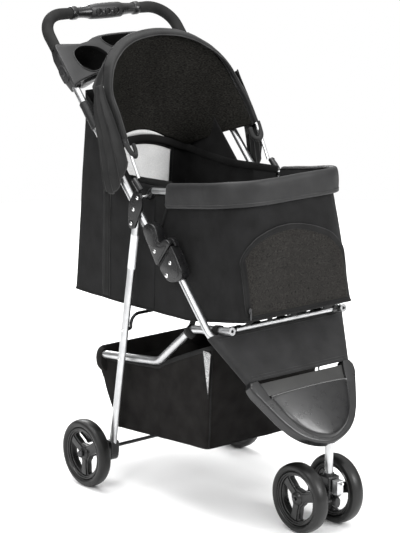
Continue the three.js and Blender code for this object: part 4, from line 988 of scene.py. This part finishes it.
    def on_side(sg, y, z, off=1.6):
        """A point on the side wall's outer face."""
        q = WP[WP[:, 0] * sg > 125]
        d = (q[:, 1] - y) ** 2 + (q[:, 2] - z) ** 2
        k = np.exp(-d / 60)
        return V((float((q[:, 0] * k).sum() / max(k.sum(), 1e-12)) + sg * off, y, z))
    for sg in (-1, 1):
        tag = "right" if sg < 0 else "left"
        pieces_.append(done(tube("cabin_seam_" + tag, spl([on_side(sg, y, z, 1.0) for y, z in [(-164, 660), (-164, 600), (-164, 526), (-161, 470), (-159, 424)]], 5), .9, "binding", 8), "basket_frame"))
        bandrow = [[on_side(sg, lerp(a, c, .0) + q, z, 1.3) for q in (0, 6, 12, 18, 24)] for a, c, z in [(lerp(-1, -12, k / 14), 0, lerp(420, 655, k / 14)) for k in range(15)]]
        pieces_.append(done(grid("cabin_band_" + tag, bandrow, "binding", .8), "basket_frame"))
        for q in (-1.2, 25.2):
            pieces_.append(done(tube(f"cabin_band_edge_{tag}_{int(q > 0)}", [on_side(sg, lerp(-1, -12, k / 14) + q, lerp(420, 655, k / 14), 1.9) for k in range(15)], .7, "seam", 6), "basket_frame"))
        # short zip under the rim
        zp = [on_side(sg, y, z, 2.0) for y, z in [(-211, 666), (-207, 650), (-201, 634), (-195, 618), (-190, 606)]]
        pieces_.append(done(tube("cabin_zip_" + tag, spl(zp, 4), 1, "binding", 10, oval=(1.4, 3.6), up=(1, 0, 0)), "basket_frame"))
        pull = on_side(sg, -189, 604, 3.2)
        pieces_.append(done(plate("cabin_zip_pull_" + tag, rsmooth([(-2.2, -9), (2.2, -9), (2.8, 2), (0, 6), (-2.8, 2)], 1), pull - V((1, 0, 0)), (0, 1, 0), (0, 0, 1), 2, "steel", .5), "basket_frame"))

    # front window: dark net, stitched binding and its zip
    def front_at(x, z, off=1.4):
        d = (FP[:, 0] - x) ** 2 + (FP[:, 2] - z) ** 2
        k = np.exp(-d / 45)
        return V((x, float((FP[:, 1] * k).sum() / max(k.sum(), 1e-12)) - off, z))
    xs = np.linspace(-137, 140, 44)
    base = 462
    netf = []
    for x in xs:
        zt = max(arch_front(x), base + 6)
        netf.append([front_at(x, lerp(base, zt, t), 1.5) for t in np.linspace(0, 1, 16)])
    pieces_.append(done(grid("front_window_net", netf, "net_dark", 1), "basket_frame"))
    edge = [netf[0][k] for k in range(0, 16)] + [netf[i][15] for i in range(1, len(xs) - 1)] + [netf[-1][k] for k in range(15, -1, -1)]
    outer = [p + V((0, -1.0, 0)) for p in edge]
    sm = spl(outer[::2] + ([outer[-1]] if (len(outer) - 1) % 2 else []), 3)
    pieces_.append(done(tube("front_window_zip", sm, 1, "binding", 12, oval=(1.6, 6.2), up=(0, 1, 0)), "basket_frame"))
    cx_ = V((0, 0, 520))
    o2 = [p + V((p.x * .035, -.3 + (2.0 if abs(p.x) > 120 else 0), (p.z - 520) * .045 + 1)) for p in sm]
    pieces_.append(done(tube("front_window_stitch", o2, .7, "seam", 6), "basket_frame"))
    sl = front_at(-136, 474, 4)
    pieces_.append(done(plate("front_zip_slider", rsmooth([(-3.2, -6), (3.2, -6), (3.6, 5), (-3.6, 5)], 1), sl + V((0, -1, 0)), (1, 0, 0), (0, 0, 1), 3, "dark", .8), "basket_frame"))
    pieces_.append(done(plate("front_zip_tab", rsmooth([(-2, -14), (2, -14), (2.4, 4), (-2.4, 4)], 1), sl + V((0, -4, -6)), (1, 0, 0), (0, 0, 1), 1.6, "dark", .5), "basket_frame"))
    for o in pieces_:
        bake(o)
        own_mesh(o)
    return rows


def bake(o):
    """Applies the modifiers, so that the mesh is final."""
    if not o.modifiers:
        return
    bpy.context.view_layer.update()
    me = bpy.data.meshes.new_from_object(o.evaluated_get(bpy.context.evaluated_depsgraph_get()))
    old = o.data
    o.modifiers.clear()
    o.data = me


CAB = cabin()


# ------------------------------------------------------------------ cushion: cloth simulated
def cushion():
    rows = []
    hx, y0, y1, r = 132, -256, 112, 26
    ring_ = ring_pts(hx, y0, y1, r, r, (10, 6, 20, 6, 20))
    zs = [(433, .97), (436, 1.0), (446, 1.0), (449, .97)]
    vs, fs = [], []
    for z, s_ in zs:
        for x, y in ring_:
            vs.append((x * s_, (y - (y0 + y1) / 2) * s_ + (y0 + y1) / 2, z))
    n = len(ring_)
    for i in range(len(zs) - 1):
        for j in range(n):
            fs.append((i * n + j, i * n + (j + 1) % n, (i + 1) * n + (j + 1) % n, (i + 1) * n + j))
    fs += [tuple(range(n)), tuple(range((len(zs) - 1) * n, len(zs) * n))]
    o = obj("cabin_cushion", vs, fs, "pad")
    rm = o.modifiers.new("rm", "REMESH")
    rm.mode, rm.voxel_size = "VOXEL", .006
    bake(o)
    base = np.array([v.co for v in o.data.vertices], float)
    cl = o.modifiers.new("cloth", "CLOTH")
    cl.settings.use_pressure = True
    cl.settings.uniform_pressure_force = 4
    cl.settings.effector_weights.gravity = 0
    cl.settings.quality = 4
    cl.collision_settings.use_collision = False
    for f in range(1, 21):
        sc.frame_set(f)
    ev = o.evaluated_get(bpy.context.evaluated_depsgraph_get())
    co = np.array([v.co for v in ev.data.vertices], float)
    o.modifiers.clear()
    d = co - base
    L = np.linalg.norm(d, axis=1)
    k = np.minimum(1, .007 / np.maximum(L, 1e-9))
    d[:, :2] *= .3
    new = base + d * k[:, None]
    # flat where it lies on the board, drawn down along two sewn channels
    new[:, 2] = np.maximum(new[:, 2], .4325)
    yy = new[:, 1] - SH * .001
    for c in (-.13, -.01):
        new[:, 2] -= np.where(new[:, 2] > .445, .005 * np.exp(-((yy - c) / .008) ** 2), 0)
    o.data.vertices.foreach_set("co", new.astype(np.float32).ravel())
    o.data.update()
    sc.frame_set(1)
    s = o.modifiers.new("s", "SUBSURF")
    s.levels = s.render_levels = 1
    bake(o)
    o.data.shade_smooth()
    if not o.data.materials:
        o.data.materials.append(M["pad"])
    done(o, "basket_frame", "cabin_pad")
    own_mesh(o)


cushion()
bd = plate("base_board", rsmooth([(-137, -261), (137, -261), (137, 117), (-137, 117)], 2), (0, 0, 427.2), (1, 0, 0), (0, 1, 0), 3.6, "plate", .8)
done(bd, "basket_frame", "floor_board")


# ------------------------------------------------------------------ hood
BOW = [(-179.5, -146, 706), (-180.5, -126, 742), (-180.2, -104, 782), (-178, -76, 829), (-173.5, -45, 869), (-161, -27, 904), (-142, -11, 931), (-117, 2, 950), (-91, 11, 964), (-54, 18, 975), (0, 21, 980)]


def bow_line(push=0, n=8, lift=0, start=0):
    h = BOW[start:]
    full = [V(p) for p in h] + [V((-p[0], p[1], p[2])) for p in reversed(h[:-1])]
    c = V((0, -40, 830))
    out = []
    for p in spl(full, n):
        d = V((p.x - c.x, 0, (p.z - c.z) if p.z > 830 else 0))
        d = d.normalized() if d.length > 1 else V((1, 0, 0))
        out.append(p + d * push + V((0, 0, lift)))
    return out


def hood():
    done(tube("hood_bow", bow_line(-.5), 3.5, "silver", 16), "canopy", "canopy_bow")
    blend = []
    # binding round the bow: a thick folded band, 27 mm wide
    A = bow_line(.5, 6, start=2)
    m = len(A)
    rows = []
    for i, p in enumerate(A):
        t = (A[min(i + 1, m - 1)] - A[max(i - 1, 0)]).normalized()
        back = V((0, .86, .5)) if abs(p.x) < 150 else V((0, .93, .30))
        back = (back - t * back.dot(t)).normalized()
        out_ = t.cross(back).normalized()
        if out_.dot(V((p.x, 0, p.z - 800))) < 0:
            out_ = -out_
        w = 1.2 * nz(p, 26, 2)
        prof = [(-4, 4.0), (-6.2, 0), (-4.2, -4.2), (2, -5), (8, -3.4), (16, -1.6), (19, .6), (17, 2.4), (8, 3.2 + w), (2, 4.8)]
        rows.append([p + back * a + out_ * b for a, b in prof])
    blend.append(("hood_binding", grid("hood_binding", rows, "hood", closed=True, subd=1, sharp=80)))
    blend.append(("hood_binding_edge", tube("hood_binding_edge", [r[1] for r in rows], 1.3, "seam", 8)))
    # outer skin: from the binding back to the handle tubes and the tray
    B = []
    half_b = [(-189, -62, 745), (-191, -45, 775), (-192, -30, 806), (-189, -12, 840), (-177, 12, 866), (-158, 44, 875), (-136, 66, 871), (-104, 76, 868), (-60, 80, 866), (0, 81, 866)]
    fullB = spl([V(p) for p in half_b] + [V((-p[0], p[1], p[2])) for p in reversed(half_b[:-1])], 6)
    A2 = [r[6] for r in rows]
    mB = len(fullB)
    rws = []
    for k in range(15):
        t = k / 14
        row = []
        for i, p in enumerate(A2):
            q = fullB[min(mB - 1, round(i * (mB - 1) / (m - 1)))]
            c = p.lerp(q, t)
            top = max(0, 1 - abs(c.x) / 150)
            c = c + V((0, 0, 3.5 * math.sin(math.pi * t) * top))
            # shallow folds fan out towards the sides
            f = math.sin(i * .9 + 2.5 * nz(c, 60, 3)) * math.sin(math.pi * min(1, t * 1.1))
            c = c + V((-1.4 * f * (1 if c.x < 0 else -1) * (1 - top), 1.2 * f, 1.9 * f))
            row.append(c)
        rws.append(row)
    blend.append(("hood_skin", grid("hood_skin", rws, "hood", 1.2, subd=1, sharp=80)))
    # dark net lining behind the opening, from the bow down to the rear wall
    A3 = [r[4] + V((0, 2, -1)) for r in rows]
    rws = []
    for k in range(17):
        t = k / 16
        row = []
        for i, p in enumerate(A3):
            u = i / (m - 1) * 2 - 1
            qx = 138 * u
            q = V((qx, 87.5, max(749 - 24 * (qx / 108) ** 2, 736 + 24 * (1 - (qx / 76) ** 2) if abs(qx) < 76 else 0)))
            c = p.lerp(q, t ** .9)
            sag = math.sin(math.pi * t)
            c.y += 18 * sag * (1 - .5 * abs(u)) + sag * (3.2 * nz((c.x, 0, c.z * .2), 34, 7) + 2.4 * math.sin(c.x / 15 + 2 * nz(c, 90, 3)) * t)
            c.x *= 1 - .03 * sag
            c.y = min(c.y, (lerp(131, 89, (c.z - 414) / 382) if c.z < 796 else 89) - 3.5)
            row.append(c)
        rws.append(row)
    blend.append(("hood_lining", grid("hood_lining", rws, "net_hood", 1, subd=1, sharp=80)))
    for nm, o in blend:
        bake(o)
        if nm == "hood_skin":
            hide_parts("canopy_shell")
        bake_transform(o)
    # gathered side flaps, hanging outside the handle tubes
    def flap():
        fr_ = [(-184, -118, 738), (-186, -108, 762), (-188, -92, 790), (-189, -72, 826), (-188, -48, 862), (-184, -30, 892)]
        re = [(-196, -62, 668), (-199, -52, 672), (-201, -44, 720), (-200, -36, 762), (-197, -16, 830), (-190, -14, 884)]
        F_ = spl([V(p) for p in fr_], 7)
        R_ = spl([V(p) for p in re], 7)
        rows = []
        for k in range(37):
            t = k / 36
            row = []
            for i, (p, q) in enumerate(zip(F_, R_)):
                u = i / (len(F_) - 1)
                c = p.lerp(q, t)
                low = 1 - u
                c.z += -26 * math.sin(math.pi * t) * low * low - 4 * math.sin(math.pi * t) * low
                f = (1 - 2 * abs(math.sin(t * 10.5 + .8 * math.sin(u * 3) + .4)) ** .75) * (.45 + .55 * (1 - abs(2 * u - .9)))
                c.x += -2.5 - 5.0 * math.sin(math.pi * t) - 6.0 * f * max(0, math.sin(math.pi * min(1, .12 + t * .88))) ** .6
                c.y += 1.5 * f
                row.append(c)
            rows.append(row)
        a = grid("hood_flap", rows, "hood", 1.3, subd=1, sharp=80)
        bake(a)
        hem = tube("hood_flap_hem", [r[0] + V((0, 0, .6)) for r in rows], 1.3, "seam", 8)
        return [a, hem]
    both_sides(flap, "handle_frame", None)

    def hook():
        # the binding's lower end turns back in a J round the bow
        j = spl([V((-184, -104, 784)), V((-183.5, -112, 770)), V((-180, -121, 757)), V((-172, -123, 749)), V((-164, -117, 751)), V((-161, -110, 761)), V((-162, -104, 772))], 5)
        return [tube("hood_hook", j, [4.4] * (len(j) - 1) + [3.4], "hood", 14, oval=(1, 1.3)), rivet("hood_snap", (-108, 777), -187.6, -1, 3.6, 1.4, "dark")]
    both_sides(hook, "canopy", None)

    def sleeve():
        # fabric loop that ties the hood to the handle tube
        pts = [up_(-XF, s) for s in (-104, -102, -84, -66, -50, -38, -36)]
        return [tube("hood_sleeve", pts, [9.2, 10.6, 10.2, 10.9, 10.3, 10.8, 9.4], "fabric2", 24),
                tube("hood_sleeve_web", [up_(-XF, -40, -8) + V((8, 0, 0)), up_(-XF, -98, -10) + V((10, 0, 0))], [5, 6], "hood", 12)]
    both_sides(sleeve, "handle_frame", None)


hood()


# ------------------------------------------------------------------ basket
def basket():
    def btop(y):
        if y > -179:
            return lerp(297, 270, (y + 179) / 241)
        return lerp(300, 374, ((-179 - y) / 168) ** .9)

    def bbot(y):
        return lerp(127, 153, min(1, max(0, (-20 - y) / 314)))
    bot = ring_pts(145, -333, -14, 10, 12, (14, 5, 34, 5, 24))
    top = ring_pts(149.5, -349, 52, 10, 18, (14, 5, 34, 5, 24))
    n = len(bot)
    NB = 22
    rows = []
    for k in range(NB + 1):
        h = k / NB
        row = []
        for j in range(n):
            (bx, by), (tx, ty) = bot[j], top[j]
            x, y = lerp(bx, tx, h), lerp(by, ty, h)
            z = lerp(bbot(by), btop(ty), h)
            if ty < -340:      # the front wall's edge is kept level between its corners (the dip is set to zero)
                z -= 0 * h
            s_ = math.sin(math.pi * h)
            jj = j if j <= n // 2 else n - j
            if 14 < jj < 14 + 5 + 34:
                x += (3 * s_ + 3.0 * nz((0, y, z * .5), 55, 11) * s_) * (1 if x > 0 else -1)
            else:
                y += (-2 if y < -200 else 3) * s_ + 3 * nz((x, 0, z * .6), 60, 12) * s_
            z += -2 * (1 - h) ** 3 * abs(nz((x, y, 0), 50, 13))
            row.append(V((x, y, z)))
        rows.append(row)
    P = [grid("basket_wall", rows, "basket", 1.6, closed=True, sharp=50)]
    done(P[0], "basket_frame", "basket")
    fl_ = [[V((x, y, bbot(y) + 1 - 6 * (1 - (x / 146) ** 2) * math.sin(math.pi * min(1, max(0, (y + 333) / 318))))) for x in np.linspace(-144, 144, 19)] for y in np.linspace(-14, -332, 22)]
    P.append(done(grid("basket_floor", fl_, "basket", 1.4), "basket_frame"))
    P.append(done(tube("basket_top_binding", [p + V((0, 0, 1)) for p in rows[-1]], 1, "binding", 12, oval=(5, 2.4), closed=True, up=(0, 0, 1)), "basket_frame"))
    for tag, sg in (("right", -1), ("left", 1)):
        crn = [j for j in range(n) if (rows[0][j].x * sg > 0 and rows[0][j].y < -325)]
        j0 = max(crn, key=lambda j: rows[0][j].x * sg - rows[0][j].y)
        P.append(done(tube("basket_corner_" + tag, [rows[k][j0] + V((sg * .8, -.8, 0)) for k in range(NB + 1)], 1.5, "binding", 8), "basket_frame"))
        # net gusset at the upper front corner
        g = []
        for k in range(13):
            t = k / 12
            z = lerp(268, 362, t)
            wd = lerp(0.6, 27, t)
            g.append([V((sg * (151.6 + 3 * math.sin(math.pi * (.4 + .5 * t))), lerp(-347, -353, t) + wd * u_ * 1.0 + 1, z + (4 if u_ else 0) * t)) for u_ in (0, .25, .5, .75, 1)])
        P.append(done(grid("basket_gusset_" + tag, g, "net_grey", .8), "basket_frame"))
        P.append(done(tube("basket_gusset_edge_" + tag, [r[-1] + V((sg * .6, 0, 0)) for r in g], .9, "binding", 8), "basket_frame"))
        P.append(done(tube("basket_gusset_front_" + tag, [r[0] + V((sg * .6, 0, 0)) for r in g], .9, "binding", 8), "basket_frame"))
    P.append(done(tube("basket_base_piping", rows[0], 1.8, "binding", 8, closed=True), "basket_frame"))
    # sleeve over the rear of the tube
    sl_r = [p for p in sroute if p.y > 18]
    sl_r = [V((-154, 12, 285.5))] + sl_r + [V((154, 12, 285.5))]
    sl_r = [p + V((0, 0, -12)) for p in sl_r]
    P2 = tube("basket_sleeve", spl(sl_r, 2), 1, "basket", 20, oval=(25, 11.5), up=(0, 0, 1))
    done(P2, "basket_frame")
    flap_ = []
    for x in np.linspace(-142, 142, 25):
        flap_.append([V((x, 50 + 2 * nz((x, 0, 0), 30, 4), 262)), V((x, 44, 240)), V((x, 36, 226))])
    P.append(done(grid("basket_rear_web", flap_, "basket", 1.4), "basket_frame"))
    for o in P:
        bake(o)
        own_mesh(o)


basket()

# ------------------------------------------------------------------ front panel and straps
def panel():
    rows = []
    for k in range(15):
        t = k / 14
        z = lerp(318.5, 409, t)
        tx = 176.6 - (415 - z) * .4972
        row = []
        for x in np.linspace(-1, 1, 81):
            a = abs(x)
            sg = 1 if x > 0 else -1
            if a < .86:
                xx, h = x / .86 * tx, 10.1 + .8 * nz((x * 150, 0, z), 60, 21) * (1 - a / .86)
            else:               # round the tubes and tucked in behind
                ang = (a - .86) / .14 * 3.7
                xx, h = sg * (tx + 10.1 * math.sin(ang)), 10.1 * math.cos(ang)
            row.append(pl(xx, z, h))
        rows.append(row)
    o = grid("front_panel_cloth", rows, "panel", 1.6, sharp=70)
    bake(o)
    done(o, "front_frame", "front_panel")
    for nm, z, w in (("top", 404.5, 171), ("bottom", 323, 131), ("bottom2", 327.5, 133), ("top2", 400.5, 169)):
        done(tube("panel_hem_" + nm, [pl(x, z, 11.3) for x in np.linspace(-w, w, 25)], .55, "seam", 6), "front_frame")


panel()


def strap(name, pts, width, mat, body, t=1.4, up=(1, 0, 0)):
    o = tube(name, spl(pts, 4), 1, mat, 10, oval=(width / 2, t / 2), up=up)
    done(o, body)
    return o


for i, (x, wd) in enumerate(((-123, 13), (-72, 14), (-5, 20), (92, 25))):
    strap(f"front_strap_{i}", [V((x - 2, -452, 455)), V((x - 1, -444, 445)), V((x, -430, 436)), V((x, -412, 431)), V((x, -402, 431.4)), V((x, -396, 427)), V((x, -395, 421))], wd, "binding", "basket_frame")


def tube_strap(sg, y, z, dy, dz, name, w=18):
    """A band round the basket tube, hanging from the cabin floor."""
    n = V((0, -dz, dy)).normalized()
    t = V((0, dy, dz)).normalized()
    c = V((sg * SX, y, z))
    rws = []
    for q in (-w / 2, w / 2):
        rws.append([c + t * q + V((math.cos(a) * 10.6, 0, 0)) + n * (math.sin(a) * 10.6) + n * (4 * max(0, math.sin(a)) ** 3) for a in np.linspace(0, 2 * math.pi, 29)[:-1]])
    o = grid(name, rws, "binding", 1.4, closed=True)
    bake(o)
    done(o, "basket_frame")


for tag, sg in (("right", -1), ("left", 1)):
    tube_strap(sg, -287, 401.5, -11, 9.5, "tube_strap_a_" + tag, 20)
    tube_strap(sg, -377, 420, -12, 2, "tube_strap_b_" + tag, 16)
    strap("tube_tie_" + tag, [V((sg * 154, -289, 412)), V((sg * 151, -290, 420)), V((sg * 149, -290, 428))], 18, "binding", "basket_frame", up=(0, 1, 0))

# ------------------------------------------------------------------ stage, light, camera
fm = bpy.data.meshes.new("floor")
bm = bmesh.new()
bmesh.ops.create_circle(bm, cap_ends=True, segments=96, radius=3.2)
bm.to_mesh(fm)
fm_mat, nt, b, tc = new_mat("pale_floor")
r = ramp(nt, noise_tex(nt, tc, 3, 2).outputs["Fac"], (.9, .9, .9), (.92, .92, .92))
nt.links.new(r.outputs["Color"], b.inputs["Base Color"])
b.inputs["Roughness"].default_value = .9
fm.materials.append(fm_mat)
floor = bpy.data.objects.new("floor", fm)
sc.collection.objects.link(floor)

w = bpy.data.worlds.new("studio")
w.use_nodes = True
nt = w.node_tree
bg = nt.nodes["Background"]
tc = nt.nodes.new("ShaderNodeTexCoord")
dot = nt.nodes.new("ShaderNodeVectorMath")
dot.operation = "DOT_PRODUCT"
dot.inputs[1].default_value = (-.45, -.89, .1)
nt.links.new(tc.outputs["Generated"], dot.inputs[0])
front = nt.nodes.new("ShaderNodeMapRange")
for k, v_ in (("From Min", .25), ("From Max", .8), ("To Min", .1), ("To Max", .75)):
    front.inputs[k].default_value = v_
nt.links.new(dot.outputs["Value"], front.inputs["Value"])
sep = nt.nodes.new("ShaderNodeSeparateXYZ")
nt.links.new(tc.outputs["Generated"], sep.inputs[0])
topz = nt.nodes.new("ShaderNodeMapRange")
for k, v_ in (("From Min", .25), ("From Max", .75), ("To Min", 0), ("To Max", 1.35)):
    topz.inputs[k].default_value = v_
nt.links.new(sep.outputs["Z"], topz.inputs["Value"])
add = nt.nodes.new("ShaderNodeMath")
add.operation = "ADD"
nt.links.new(front.outputs[0], add.inputs[0])
nt.links.new(topz.outputs[0], add.inputs[1])
lp = nt.nodes.new("ShaderNodeLightPath")
mxw = nt.nodes.new("ShaderNodeMix")
mxw.inputs["B"].default_value = 1.0
nt.links.new(lp.outputs["Is Camera Ray"], mxw.inputs["Factor"])
nt.links.new(add.outputs[0], mxw.inputs["A"])
nt.links.new(mxw.outputs["Result"], bg.inputs["Strength"])
bg.inputs["Color"].default_value = (1, 1, 1, 1)
sc.world = w


def area(name, loc, target, size, power):
    d = bpy.data.lights.new(name, "AREA")
    d.energy, d.size = power, size
    o = bpy.data.objects.new(name, d)
    o.location = loc
    o.rotation_mode = "QUATERNION"
    o.rotation_quaternion = (V(target) - V(loc)).to_track_quat("-Z", "Y")
    sc.collection.objects.link(o)


area("key", (1.3, -3.2, 2.0), (0, -.1, .5), 1.3, 95)
area("side", (-2.9, -1.2, 2.2), (0, 0, .55), .9, 45)
area("top", (-.2, .3, 3.2), (0, 0, .5), 1.8, 70)
area("back", (.9, 2.6, 1.9), (0, 0, .6), 1.1, 40)

cam = bpy.data.cameras.new("camera")
cam.sensor_fit = "AUTO"
cam.sensor_width = 36
cam.lens = 2093.53 * 36 / 533
co = bpy.data.objects.new("camera", cam)
co.location = fr((-2802, -3563, 1528))
az, el = math.radians(-39.21), math.radians(13.22)
back = V((math.sin(az) * math.cos(el), -math.cos(az) * math.cos(el), math.sin(el)))
co.rotation_mode = "QUATERNION"
co.rotation_quaternion = (-back).to_track_quat("-Z", "Y")
cam.clip_start, cam.clip_end = .1, 60
sc.collection.objects.link(co)
sc.camera = co
sc.view_settings.view_transform = "Standard"
